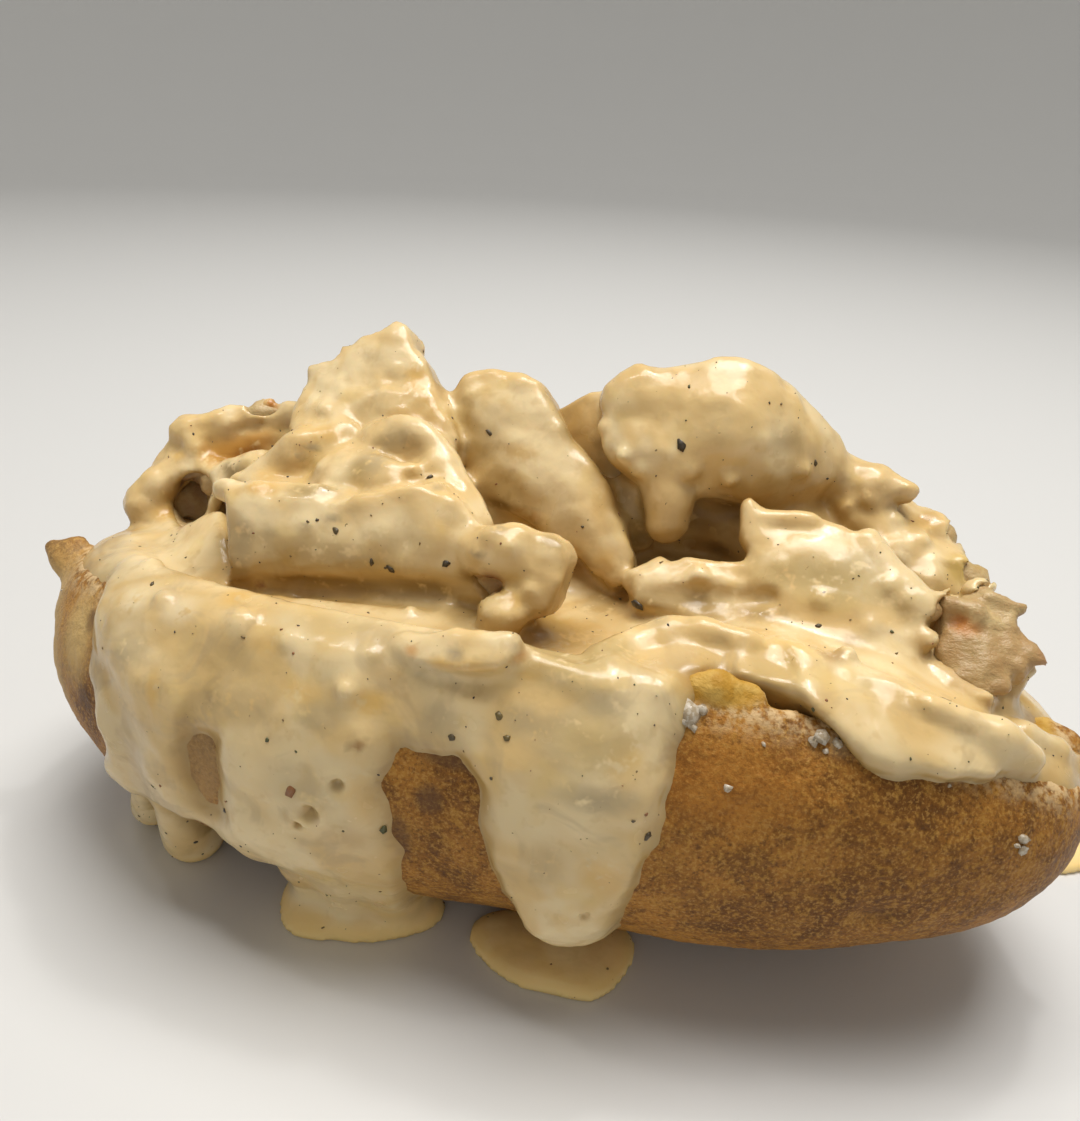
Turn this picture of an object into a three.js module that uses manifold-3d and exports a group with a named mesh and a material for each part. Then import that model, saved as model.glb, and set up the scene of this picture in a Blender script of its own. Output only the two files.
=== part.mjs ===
// A baked russet potato, split along its top and heaped with chicken chunks in
// a thick cream sauce. The sauce fills the split, covers the rim and runs down
// the skin in tongues, which end in flat puddles on the surface the potato
// rests on. Units are millimetres, +Z is up, and the origin lies at the middle
// of the whole object's footprint, at the height of the resting surface.
import * as THREE from 'three';
import { mergeVertices } from 'three/addons/utils/BufferGeometryUtils.js';
import Module from 'manifold-3d';

// ---------------------------------------------------------------- dimensions
const GAP = 0.3;                    // clear space kept between touching pieces

const HALF_LEFT = 70.5;             // potato's half length towards -X
const HALF_RIGHT = 68.5;            // potato's half length towards +X
const HALF_WIDTH = 38;              // half its width
const AXIS_HEIGHT = 25;             // height of its widest level
const CROWN = 29;                   // widest level to the uncut crown
const BELLY = 26;                   // widest level to the lowest point, before the flat
const BEND_LEFT = 4, BEND_RIGHT = 12.5;   // how far the ends curve towards -Y
const RIM_HEIGHT = 44.5;            // height of the cut's front rim at the middle
const RIM_DROP_ENDS = 8;            // how much lower the rim is at the ends
const BACK_RIM_DROP = 3.5;          // the back rim is lower than the front one
const BACK_RIM_DROP_ENDS = 4.5;
const TROUGH_DEPTH = 9;             // depth of the opened flesh below the rim
const TROUGH_HALF_WIDTH = 27;
const TROUGH_REACH = 0.86;          // trough's half length, as a share of the potato's

const SAUCE_LEVEL = 0.9;            // sauce above the rim, over the trough
const SAUCE_SKIN = 1.9;             // thickness of the sauce on the skin
const TONGUE_SWELL = 2.4;           // extra thickness where the middle tongue ends
const PUDDLE_HEIGHT = 2.5;

const CENTRE_SHIFT = [-10.69, -3.21, 0];  // moves the footprint's middle to the origin

// ---------------------------------------------------------------- materials
const finish = (color, roughness) => new THREE.MeshStandardMaterial({ color, roughness, metalness: 0 });
const skinFinish = finish(0x8a6232, 0.7);
const sauceFinish = finish(0xe0bf83, 0.35);
const chickenFinish = finish(0xd9ae6e, 0.5);

// ---------------------------------------------------------------- helpers
const wasm = await Module();
wasm.setup();

const clamp = (v, a, b) => Math.min(b, Math.max(a, v));
const smin = (a, b, k) => { const h = Math.max(k - Math.abs(a - b), 0) / k; return Math.min(a, b) - h * h * k * 0.25; };
const smax = (a, b, k) => -smin(-a, -b, k);
const lump = (x, y, z, s) => Math.sin(x / s + 1.3 * Math.sin(y / s)) * Math.cos(y / s + 0.7) * Math.sin(z / s + 1.9 * Math.cos(x / (1.7 * s)));

const positionsOnly = (geometry) => {
  geometry.deleteAttribute('normal');
  geometry.deleteAttribute('uv');
  return mergeVertices(geometry, 1e-5);
};
const moveVertices = (geometry, move) => {
  const p = geometry.getAttribute('position');
  for (let i = 0; i < p.count; i++) p.setXYZ(i, ...move(p.getX(i), p.getY(i), p.getZ(i)));
  return geometry;
};
const toSolid = (geometry) => new wasm.Manifold(new wasm.Mesh({
  numProp: 3,
  vertProperties: new Float32Array(geometry.getAttribute('position').array),
  triVerts: new Uint32Array(geometry.getIndex().array),
}));
// Thin cutting slivers that come free of a piece are dropped: the piece is its largest body.
const largest = (solid) => solid.decompose().sort((a, b) => b.volume() - a.volume())[0];
const toMesh = (solid, name, material) => {
  const m = solid.getMesh();
  const g = new THREE.BufferGeometry();
  g.setAttribute('position', new THREE.BufferAttribute(new Float32Array(m.vertProperties), 3));
  g.setIndex(new THREE.BufferAttribute(new Uint32Array(m.triVerts), 1));
  g.computeVertexNormals();
  const mesh = new THREE.Mesh(g, material);
  mesh.name = name;
  return mesh;
};

// ---------------------------------------------------------------- the potato
const along = (x) => (x < 0 ? x / HALF_LEFT : x / HALF_RIGHT);
const spineY = (x) => { const u = along(x); return -(x < 0 ? BEND_LEFT : BEND_RIGHT) * u * u; };
const hull = (x, y, z) => {
  const u = along(x), p = x < 0 ? 2.2 : 2.1, q = 2.3;
  const zc = AXIS_HEIGHT + (x < 0 ? 1.5 : 0.5) * Math.min(u * u, 1);
  const h = (z < zc ? BELLY : CROWN) * (1 - 0.03 * u);
  const r = (Math.abs((y - spineY(x)) / HALF_WIDTH) ** q + Math.abs((z - zc) / h) ** q) ** (1 / q);
  return (Math.abs(u) ** p + r ** p) ** (1 / p) - 1;
};
// distance to the uncut potato, in millimetres
const hullDistance = (x, y, z) => {
  const e = 0.25, f = hull(x, y, z);
  const gx = (hull(x + e, y, z) - hull(x - e, y, z)) / (2 * e);
  const gy = (hull(x, y + e, z) - hull(x, y - e, z)) / (2 * e);
  const gz = (hull(x, y, z + e) - hull(x, y, z - e)) / (2 * e);
  return f / (Math.hypot(gx, gy, gz) + 1e-4) + 0.5 * lump(x, y, z, 13);
};
const rimHeight = (x, y) => {
  const u = along(x);
  const t = clamp((y + 10) / 30, 0, 1), back = t * t * (3 - 2 * t);
  return RIM_HEIGHT - u - RIM_DROP_ENDS * Math.abs(u) ** 3 - 4 * clamp(u, 0, 1) ** 4
    - back * (BACK_RIM_DROP + BACK_RIM_DROP_ENDS * Math.abs(u));
};
const cutHeight = (x, y) => {
  const q = (Math.abs(along(x)) / TROUGH_REACH) ** 2.2 + (Math.abs(y - spineY(x)) / TROUGH_HALF_WIDTH) ** 2.2;
  return rimHeight(x, y) - TROUGH_DEPTH * clamp(1 - q ** (2 / 2.2), 0, 1) ** 0.6 - 0.3;
};
const potatoField = (x, y, z) => Math.max(smax(hullDistance(x, y, z), z - cutHeight(x, y), 1.2), -z);

// A closed skin round a field: a subdivided icosahedron, stretched to the
// potato's proportions, with each vertex moved along its own ray to the field's
// outermost zero. `offset` pushes the skin out.
const EYE = [0, 0, 22];
const wrap = (field, detail, offset) => moveVertices(
  positionsOnly(new THREE.IcosahedronGeometry(1, detail)),
  (nx, ny, nz) => {
    const dx = nx * 70, dy = ny * 38, dz = nz * 27;
    const at = (s) => field(EYE[0] + dx * s, EYE[1] + dy * s + spineY(dx * s), EYE[2] + dz * s) - offset;
    let hi = 2.2, lo = hi;
    while (lo > 0.05 && at(lo) > 0) { hi = lo; lo -= 0.02; }
    for (let i = 0; i < 22; i++) { const mid = (lo + hi) / 2; if (at(mid) > 0) hi = mid; else lo = mid; }
    const z = EYE[2] + dz * lo;
    return [EYE[0] + dx * lo, EYE[1] + dy * lo + spineY(dx * lo), Math.abs(z) < 1e-3 ? 0 : z];
  },
);

// ---------------------------------------------------------------- lumps
// A tapering capsule between two balls: an icosahedron whose two halves are
// moved to the two ends.
const capsule = (a, ra, b, rb, detail, grow = 0) => {
  const A = new THREE.Vector3(...a), B = new THREE.Vector3(...b);
  const axis = B.clone().sub(A), len = axis.length();
  axis.normalize();
  const turn = new THREE.Quaternion().setFromUnitVectors(new THREE.Vector3(0, 1, 0), axis);
  const n = new THREE.Vector3();
  return toSolid(moveVertices(positionsOnly(new THREE.IcosahedronGeometry(1, detail)), (x, y, z) => {
    n.set(x, y, z).applyQuaternion(turn);
    const far = y > clamp((ra - rb) / len, -0.95, 0.95);
    const c = far ? B : A, r = far ? rb : ra;
    const px = c.x + n.x * r, py = c.y + n.y * r, pz = c.z + n.z * r;
    const s = r + grow + Math.min(0.9, 0.16 * r) * lump(px, py, pz, 2.6);
    return [c.x + n.x * s, c.y + n.y * s, c.z + n.z * s];
  }));
};

// Each chunk is torn meat: a spine of balls [x, y, z, radius] that its skin is
// wrapped round, with fibrous ridges along it, and thin strands that stand off it.
const CHUNKS = {
  chicken_a: { spine: [[-33, 8, 52, 4], [-29.5, 8, 57.5, 6.2], [-28, 8, 63, 4.8]], strands: [[-26.6, 7.6, 62, 3, -24.7, 8, 68, 1.9]], detail: 2 },
  chicken_b: { spine: [[-59.6, 8.6, 44.5, 2.8], [-56.6, 9.6, 48.8, 3.8], [-49, 11, 50.6, 4.6], [-40, 12.6, 51.8, 4.4]], strands: [], detail: 2 },
  chicken_c: { spine: [[-56.6, 0.6, 39.4, 2.2], [-61.2, 2, 42.8, 2.3], [-57.9, 4, 46.3, 2], [-52, 5, 45.5, 2.2]], strands: [], detail: 2 },
  chicken_d: { spine: [[-29, -3, 53, 4.2], [-21.4, -3, 57, 5.6], [-13, -7, 55.5, 5.2], [-6.5, -13, 52, 3.1]], strands: [], detail: 3 },
  chicken_d2: { spine: [[-41.2, -4, 49.5, 2.9], [-36, -3, 52.6, 3.8], [-30.5, -2, 54.5, 3.6]], strands: [], detail: 1 },
  chicken_e: { spine: [[-37.5, -12, 45.4, 6.2], [-25, -11.6, 47, 5.8], [-13.9, -12, 48.2, 6.5], [-7.2, -14, 48, 4.4]], strands: [], detail: 2 },
  chicken_f: { spine: [[-3.8, -18, 50.9, 2.8], [2.1, -19, 51.9, 2.8], [2.2, -20, 47.4, 2.2], [-2.8, -20.5, 44.6, 2.1]], strands: [], detail: 2 },
  chicken_g: { spine: [[-9.9, 8, 62, 4.8], [-2.5, 4, 56, 5.6], [5.7, -2, 49.2, 3.9], [9, -4.2, 46, 2.6]], strands: [], detail: 2 },
  chicken_h: { spine: [[-0.8, 16, 58.1, 4], [4.3, 15, 55.2, 4.9], [9.1, 8, 49.2, 3.2]], strands: [], detail: 2 },
  chicken_i: { spine: [[9.6, 6, 63, 5.2], [19.6, 8, 62.1, 7.3], [24, 8.6, 60.6, 6.9], [31.7, 10, 56.9, 5.1]], strands: [[14.2, 3, 57.3, 3.1, 15, 1, 50.6, 2.4]], detail: 3 },
  chicken_j: { spine: [[33, 9, 48.8, 3.6], [41.5, 12, 49.5, 4.8], [50.3, 11, 47.2, 3.7], [56.6, 6.6, 42.2, 3]], strands: [], detail: 2 },
  chicken_k: { spine: [[18, -8, 44.2, 2.4], [28.6, -6.4, 49.2, 4.4], [39.6, -6, 48, 5.9], [46.1, -8, 43, 4.3]], strands: [[26, -4.5, 53, 1.6, 28.6, -6, 49.2, 3.3]], detail: 2 },
  chicken_l: { spine: [[48.6, -12, 43, 4], [52, -12, 43.6, 4.5], [57, -12, 43.6, 3.3], [60, -12, 43.2, 1.8]], strands: [], detail: 2 },
  chicken_m: { spine: [[-40, 20, 44.5, 4.6], [-33, 20.6, 46.6, 5.8], [-25, 21, 47, 5.2]], strands: [], detail: 2 },
  chicken_n: { spine: [[-9.2, -28.5, 43.4, 1.6], [-5, -28.9, 43.9, 1.8], [-0.2, -29.3, 44.4, 1.4]], strands: [], detail: 1 },
  chicken_o: { spine: [[-5, 23, 46, 5], [4, 23.6, 48, 6.2], [12, 23, 46.6, 5.2]], strands: [], detail: 2 },
  chicken_p: { spine: [[25, 21, 45.5, 5], [31, 21, 46.4, 5.8], [38, 20, 43.5, 4.4]], strands: [], detail: 2 },
};
const capsuleDistance = (x, y, z, [ax, ay, az, ra, bx, by, bz, rb]) => {
  const vx = bx - ax, vy = by - ay, vz = bz - az;
  const t = clamp(((x - ax) * vx + (y - ay) * vy + (z - az) * vz) / (vx * vx + vy * vy + vz * vz), 0, 1);
  return Math.hypot(x - ax - vx * t, y - ay - vy * t, z - az - vz * t) - (ra + (rb - ra) * t);
};
const wrapSpine = (spine, detail, grow) => {
  const at = (t) => {
    const s = clamp(t, 0, 1) * (spine.length - 1), i = Math.min(Math.floor(s), spine.length - 2), f = s - i;
    return spine[i].map((v, k) => v + (spine[i + 1][k] - v) * f);
  };
  const first = new THREE.Vector3(...spine[0]), last = new THREE.Vector3(...spine[spine.length - 1]);
  const axis = last.clone().sub(first).normalize();
  const turn = new THREE.Quaternion().setFromUnitVectors(new THREE.Vector3(0, 1, 0), axis);
  const n = new THREE.Vector3();
  return toSolid(moveVertices(positionsOnly(new THREE.IcosahedronGeometry(1, detail)), (x, y, z) => {
    const [cx, cy, cz] = at(0.5 + 0.62 * y);
    // sideways along most of the spine, turning to face outwards past its ends
    const endwise = Math.sign(y) * Math.max(0, Math.abs(y) - 0.5) / 0.5;
    n.set(x, endwise * (0.4 + Math.hypot(x, z)), z).normalize().applyQuaternion(turn);
    const field = (s) => {
      const px = cx + n.x * s, py = cy + n.y * s, pz = cz + n.z * s;
      let f = 99;
      for (let i = 0; i + 1 < spine.length; i++) f = smin(f, capsuleDistance(px, py, pz, [...spine[i], ...spine[i + 1]]), 3);
      return f - grow + 0.7 * lump(px, py, pz, 2.4);
    };
    let lo = 0, hi = 16;
    for (let i = 0; i < 24; i++) { const m = (lo + hi) / 2; if (field(m) > 0) hi = m; else lo = m; }
    return [cx + n.x * lo, cy + n.y * lo, cz + n.z * lo];
  }));
};
const chunk = ({ spine, strands, detail }, grow) => {
  const solids = strands.map(([x0, y0, z0, r0, x1, y1, z1, r1]) => capsule([x0, y0, z0], r0, [x1, y1, z1], r1, 1, grow));
  if (spine.length) solids.unshift(wrapSpine(spine, detail, grow));
  return solids.reduce((a, b) => a.add(b));
};

// ---------------------------------------------------------------- the sauce
// Lower edge of the sauce on a side of the potato, as [x, height]: each tongue
// is a low stretch, and a height below zero runs down to a puddle.
const FRONT_EDGE = [
  [-62, 60], [-54.5, 46], [-53.4, 36], [-52.6, 26], [-51.8, 17.5], [-49, 15.6], [-45.5, 14], [-43.2, 17], [-40.5, 14.8], [-37, 13.6],
  [-33.2, 15.5], [-30.7, 12], [-28.5, 4], [-27, -3], [-13, -3], [-12.6, 10], [-14.2, 20], [-14, 25.5], [-12.2, 31], [-11.2, 34.8],
  [-8, 36.4], [-5, 36.2], [-2.6, 36], [-1, 33.6], [0, 30.5], [1.9, 23.3], [4.3, 14.5], [6.5, 3], [7.5, -3], [13, -3], [14.2, 8],
  [15.8, 17], [17.2, 23.7], [18.4, 30.8], [18.9, 35.2], [19.6, 39.2], [21, 43], [23, 60],
  [36, 60], [36.4, 45], [37.8, 42.4], [40, 40.6], [43.7, 38.4], [46.9, 37.4], [50.2, 37.4], [53.7, 37.6], [56.5, 36], [59, 31], [61.5, 27],
  [64, 27], [66, 34], [67, 60],
];
const BACK_EDGE = [
  [-62, 60], [-50, 44], [-46, 33], [-40, 30], [-36, 24], [-32, 16], [-28, 14], [-24, 20], [-20, 29], [-10, 33], [-2, 30], [4, 20], [8, 12],
  [12, 9], [16, 12], [19, 22], [24, 31], [32, 32], [40, 29], [44, 18], [48, 12], [52, 14], [55, 24], [58, 38], [63, 60],
];
// distance outside the covered area, measured on the side view: negative inside it
const edgeDistance = (edge, x, z) => {
  let d = 1e9, cover = false;
  for (let i = 0; i + 1 < edge.length; i++) {
    const [xa, za] = edge[i], [xb, zb] = edge[i + 1];
    const ex = xb - xa, ez = zb - za;
    const t = clamp(((x - xa) * ex + (z - za) * ez) / (ex * ex + ez * ez), 0, 1);
    d = Math.min(d, Math.hypot(x - xa - ex * t, z - za - ez * t));
    if (x >= xa && x < xb) cover = z > za + ez * (x - xa) / ex;
  }
  return cover ? -d : d;
};
// [x, y, z, radius] to [x, y, z, radius]: soft ridges and mounds in the sauce,
// which carry the chunks
const MOUNDS = [
  [-44, 5, 42, 5, -26, 5, 46, 7], [-26, 5, 46, 7, -10, 3, 47, 6.5], [-10, 3, 47, 6.5, 10, 9, 48, 6.5], [10, 9, 50, 6.5, 30, 9, 48, 7], [30, 8, 46, 6, 50, 6, 39, 5],
  [-44, -8, 40, 4, -50, -4, 41, 3.5], [13, -16, 42, 2.4, 30, -15, 42, 3.2], [30, -15, 42, 3.2, 46, -17, 40, 3.2],
  [12, -24, 43.2, 1.9, 26, -26.5, 43.4, 2], [26, -26.5, 43.4, 2, 42, -26, 41, 2.2],
];
const sauceField = (x, y, z) => {
  const d = hullDistance(x, y, z);
  const front = y < spineY(x);
  let bare = edgeDistance(front ? FRONT_EDGE : BACK_EDGE, x, z);
  if (front) bare = Math.max(bare, 2.9 * (1 - Math.hypot((x + 35) / 2.7, (z - 26) / 6.6)));
  const swell = front ? TONGUE_SWELL * Math.exp(-(((x - 10.5) / 6) ** 2) - (((z - 13) / 7) ** 2)) : 0;
  const thickness = clamp(GAP - 0.75 * bare, -1.4, SAUCE_SKIN + swell) + 0.3 * lump(x, y, z, 5) * clamp(-bare, 0, 1);
  const coat = smax(d - thickness, z - rimHeight(x, y) - 1.6, 2);
  const bareFlesh = 7 * (1 - Math.hypot((x - 29) / 9, (y + 33.5) / 7.5));
  let f = smax(smax(d + 0.2, z - rimHeight(x, y) - SAUCE_LEVEL, 1.5), bareFlesh, 1.5);
  f = smin(f, coat, 2);
  for (const m of MOUNDS) f = smin(f, capsuleDistance(x, y, z, m), 3.5);
  return Math.min(f, potatoField(x, y, z) + 1.4);
};
// [x, y, half length, half width, height]
const PUDDLES = [
  [-20, -27.2, 11.6, 7.2, PUDDLE_HEIGHT], [8, -28.5, 11.4, 7.6, PUDDLE_HEIGHT], [74, 24, 19, 23, PUDDLE_HEIGHT],
];
// thick drips from the underside of the sauce to the resting surface
const DRIPS = [
  [-49.8, -25.5, 15, 2.2, -54.6, -16.6, 2, 2.8], [-44.5, -29, 15.5, 2.6, -45.8, -20.4, 2.2, 3.6], [49, 17, 15, 3, 58, 19, 1.5, 4.5],
];
// A puddle is a flat-bottomed dome with a wavering edge.
const puddle = ([x, y, a, b, h]) => toSolid(moveVertices(
  positionsOnly(new THREE.SphereGeometry(1, 18, 6)),
  (nx, ny, nz) => {
    const waver = 1 + 0.05 * Math.sin(3 * Math.atan2(nz, nx) + x) + 0.03 * Math.sin(5 * Math.atan2(nz, nx) + y);
    const spread = ny > 0 ? 1 : 0.97;
    return [x + a * nx * waver * spread, y - b * nz * waver * spread, ny > 1e-6 ? h * ny ** 0.6 : h * 0.25 * ny];
  },
));
// Everything below the resting surface is trimmed by one broad slab.
const below = toSolid(moveVertices(positionsOnly(new THREE.BoxGeometry(300, 300, 20)), (x, y, z) => [x, y, z - 10]));

// ---------------------------------------------------------------- assembly
const group = new THREE.Group();
const object = new THREE.Group();
object.position.set(...CENTRE_SHIFT);
group.add(object);

const potato = toSolid(wrap(potatoField, 7, 0));
const potatoClear = toSolid(wrap(potatoField, 7, GAP));
object.add(toMesh(potato, 'potato', skinFinish));

let taken = potatoClear;
let chunksClear = null;
for (const [name, parts] of Object.entries(CHUNKS)) {
  const solid = largest(chunk(parts, 0).subtract(taken));
  const clear = chunk(parts, GAP);
  taken = taken.add(clear);
  chunksClear = chunksClear ? chunksClear.add(clear) : clear;
  object.add(toMesh(solid, name, chickenFinish));
}
let sauce = toSolid(wrap(sauceField, 10, 0));
for (const p of PUDDLES) sauce = sauce.add(puddle(p));
for (const [x0, y0, z0, r0, x1, y1, z1, r1] of DRIPS) sauce = sauce.add(capsule([x0, y0, z0], r0, [x1, y1, z1], r1, 1));
sauce = largest(sauce.subtract(potatoClear).subtract(chunksClear).subtract(below));
object.add(toMesh(sauce, 'sauce', sauceFinish));

export default group;
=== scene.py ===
# A baked potato heaped with chicken in cream sauce: the looks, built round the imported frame.
# Every shape is a signed-distance field in millimetres on one grid, turned into a mesh with OpenVDB.
import bpy, bmesh, math, time
import numpy as np
import openvdb
from mathutils import Matrix, Vector
from mathutils.bvhtree import BVHTree


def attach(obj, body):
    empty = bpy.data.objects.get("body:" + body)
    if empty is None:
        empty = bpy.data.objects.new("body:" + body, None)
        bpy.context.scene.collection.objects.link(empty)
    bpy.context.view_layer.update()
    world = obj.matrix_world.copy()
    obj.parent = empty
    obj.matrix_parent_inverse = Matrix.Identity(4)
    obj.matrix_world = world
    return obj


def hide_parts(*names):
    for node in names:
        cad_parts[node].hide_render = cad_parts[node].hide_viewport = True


T0 = time.time()
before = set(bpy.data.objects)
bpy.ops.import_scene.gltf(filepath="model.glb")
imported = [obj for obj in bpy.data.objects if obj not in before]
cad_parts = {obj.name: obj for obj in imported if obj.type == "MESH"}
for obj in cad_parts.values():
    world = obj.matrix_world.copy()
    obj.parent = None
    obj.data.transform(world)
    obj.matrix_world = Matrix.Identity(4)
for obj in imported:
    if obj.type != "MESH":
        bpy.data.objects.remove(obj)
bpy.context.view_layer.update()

SHIFT = np.array([-10.69, -3.21, 0.0])      # working frame to the part's frame, as in the CAD model
VOX = 0.6
F32 = np.float32


def log(*a):
    print("[%.1fs]" % (time.time() - T0), *a)


# ------------------------------------------------------------------ grid and fields
LO = np.array([-80.0, -52.0, -3.0])
HI = np.array([98.0, 50.0, 78.0])
N = np.ceil((HI - LO) / VOX).astype(int) + 1
X = (LO[0] + np.arange(N[0]) * VOX).astype(F32)[:, None, None]
Y = (LO[1] + np.arange(N[1]) * VOX).astype(F32)[None, :, None]
Z = (LO[2] + np.arange(N[2]) * VOX).astype(F32)[None, None, :]


def full(v=30.0):
    return np.full(tuple(N), v, F32)


def sub(a, b):
    i0 = np.maximum(0, np.floor((np.array(a) - LO) / VOX).astype(int))
    i1 = np.minimum(N, np.ceil((np.array(b) - LO) / VOX).astype(int) + 1)
    return tuple(slice(int(i0[k]), int(max(i1[k], i0[k] + 1))) for k in range(3))


def sstep(a, b, v):
    t = np.clip((v - a) / (b - a), 0, 1)
    return t * t * (3 - 2 * t)


def smin(a, b, k):
    if k <= 0:
        return np.minimum(a, b)
    h = np.maximum(k - np.abs(a - b), 0) / k
    return np.minimum(a, b) - h * h * (k * 0.25)


def smax(a, b, k):
    return -smin(-a, -b, k)


def cone_f(Xs, Ys, Zs, a, r1, b, r2):
    """distance to a cone with round ends"""
    a = np.array(a, float); b = np.array(b, float); ba = b - a
    l2 = float(ba @ ba); rr = r1 - r2; a2 = l2 - rr * rr
    if a2 <= 1e-6:
        c, r = (a, r1) if r1 > r2 else (b, r2)
        return (np.sqrt((Xs - c[0]) ** 2 + (Ys - c[1]) ** 2 + (Zs - c[2]) ** 2) - r).astype(F32)
    il2 = 1.0 / l2
    px, py, pz = Xs - a[0], Ys - a[1], Zs - a[2]
    y = px * ba[0] + py * ba[1] + pz * ba[2]
    z = y - l2
    x2 = (px * l2 - ba[0] * y) ** 2 + (py * l2 - ba[1] * y) ** 2 + (pz * l2 - ba[2] * y) ** 2
    y2 = y * y * l2; z2 = z * z * l2
    k = np.sign(rr) * rr * rr * x2
    out = (np.sqrt(x2 * a2 * il2) + y * rr) * il2 - r1
    c1 = np.sign(z) * a2 * z2 > k
    c2 = (np.sign(y) * a2 * y2 < k) & ~c1
    out = np.where(c1, np.sqrt(x2 + z2) * il2 - r2, out)
    out = np.where(c2, np.sqrt(x2 + y2) * il2 - r1, out)
    return out.astype(F32)


def add_cone(f, c, k, pad=4.0, grow=0.0):
    a, r1, b, r2 = c[0:3], c[3] + grow, c[4:7], c[7] + grow
    m = max(r1, r2) + k + pad
    sl = sub(np.minimum(a, b) - m, np.maximum(a, b) + m)
    f[sl] = smin(f[sl], cone_f(X[sl[0]], Y[:, sl[1]], Z[:, :, sl[2]], a, r1, b, r2), k)


def ell_f(Xs, Ys, Zs, c, r, rot=0.0):
    Xs, Ys, Zs = Xs - c[0], Ys - c[1], Zs - c[2]
    cs, sn = math.cos(rot), math.sin(rot)
    Xs, Ys = cs * Xs + sn * Ys, -sn * Xs + cs * Ys
    q = np.sqrt((Xs / r[0]) ** 2 + (Ys / r[1]) ** 2 + (Zs / r[2]) ** 2)
    g = np.sqrt((Xs / r[0] ** 2) ** 2 + (Ys / r[1] ** 2) ** 2 + (Zs / r[2] ** 2) ** 2) + 1e-6
    return np.maximum(q * (q - 1) / g, -min(r)).astype(F32)


def add_ell(f, c, r, k, rot=0.0, pad=4.0, cut=False):
    m = max(r) + k + pad
    sl = sub(np.array(c) - m, np.array(c) + m)
    d = ell_f(X[sl[0]], Y[:, sl[1]], Z[:, :, sl[2]], c, r, rot)
    f[sl] = smax(f[sl], -d, k) if cut else smin(f[sl], d, k)


def hull_planes(points):
    bm = bmesh.new()
    for p in points:
        bm.verts.new(p)
    bmesh.ops.convex_hull(bm, input=bm.verts)
    bm.normal_update()
    c = sum((v.co for v in bm.verts), Vector()) / len(bm.verts)
    out = []
    for fc in bm.faces:
        n = fc.normal.copy()
        if n.length < 0.5:
            continue
        d = n.dot(fc.verts[0].co)
        if n.dot(c) > d:
            n, d = -n, -d
        if not any(n.dot(m) > 0.992 and abs(d - e) < 0.6 for m, e in out):
            out.append((n, d))
    bm.free()
    return out


def hull_f(Xs, Ys, Zs, points, k):
    """soft-edged convex body round the points"""
    f = None
    for n, d in hull_planes(points):
        g = (n.x * Xs + n.y * Ys + n.z * Zs - d).astype(F32)
        f = g if f is None else smax(f, g, k)
    return f


def add_hull(f, points, edge, k, grow=0.0, pad=4.0):
    P = np.array(points, float)
    m = k + pad + grow
    sl = sub(P.min(0) - m, P.max(0) + m)
    f[sl] = smin(f[sl], hull_f(X[sl[0]], Y[:, sl[1]], Z[:, :, sl[2]], points, edge) - grow, k)


def add_prism(f, n, pts, front, back, edge, k, inset=0.0, pad=4.0):
    n = np.array(n, float); n /= np.linalg.norm(n); P = np.array(pts, float); o = P.mean(0)
    u = np.cross([0, 0, 1.0], n); u /= np.linalg.norm(u); v = np.cross(n, u)
    q = np.stack([(P - o) @ u, (P - o) @ v], 1)
    m = pad + k
    ext = np.concatenate([P + n * (front + m), P - n * (back + m), P + m, P - m])
    sl = sub(ext.min(0), ext.max(0))
    x, y, z = X[sl[0]] - o[0], Y[:, sl[1]] - o[1], Z[:, :, sl[2]] - o[2]
    uu = u[0] * x + u[1] * y + u[2] * z; vv = v[0] * x + v[1] * y + v[2] * z; ww = n[0] * x + n[1] * y + n[2] * z
    # the outline's distance is worked out once on a small raster in its own plane
    h = 0.4; lo = np.array([uu.min(), vv.min()]) - h; cnt = np.ceil((np.array([uu.max(), vv.max()]) + 2 * h - lo) / h).astype(int) + 1
    ras = poly_sd((lo[0] + np.arange(cnt[0]) * h)[:, None], (lo[1] + np.arange(cnt[1]) * h)[None, :], q)
    a = (uu - lo[0]) / h; b = (vv - lo[1]) / h; i = a.astype(np.int32); j = b.astype(np.int32); a = (a - i).astype(F32); b = (b - j).astype(F32)
    d = (ras[i, j] * (1 - a) + ras[i + 1, j] * a) * (1 - b) + (ras[i, j + 1] * (1 - a) + ras[i + 1, j + 1] * a) * b + inset
    crown = 0.9 * sstep(0.0, -5.0, d)
    w = np.maximum(ww - front - crown + inset, -ww - back)
    f[sl] = smin(f[sl], smax(d, w.astype(F32), edge), k)


# ------------------------------------------------------------------ seeded gradient noise
def _hash(ix, iy, iz, seed):
    h = (ix * 374761393 + iy * 668265263 + iz * 2147483647 + seed * 1442695041) & 0xFFFFFFFF
    h = ((h ^ (h >> 13)) * 1274126177) & 0xFFFFFFFF
    return h ^ (h >> 16)


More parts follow.
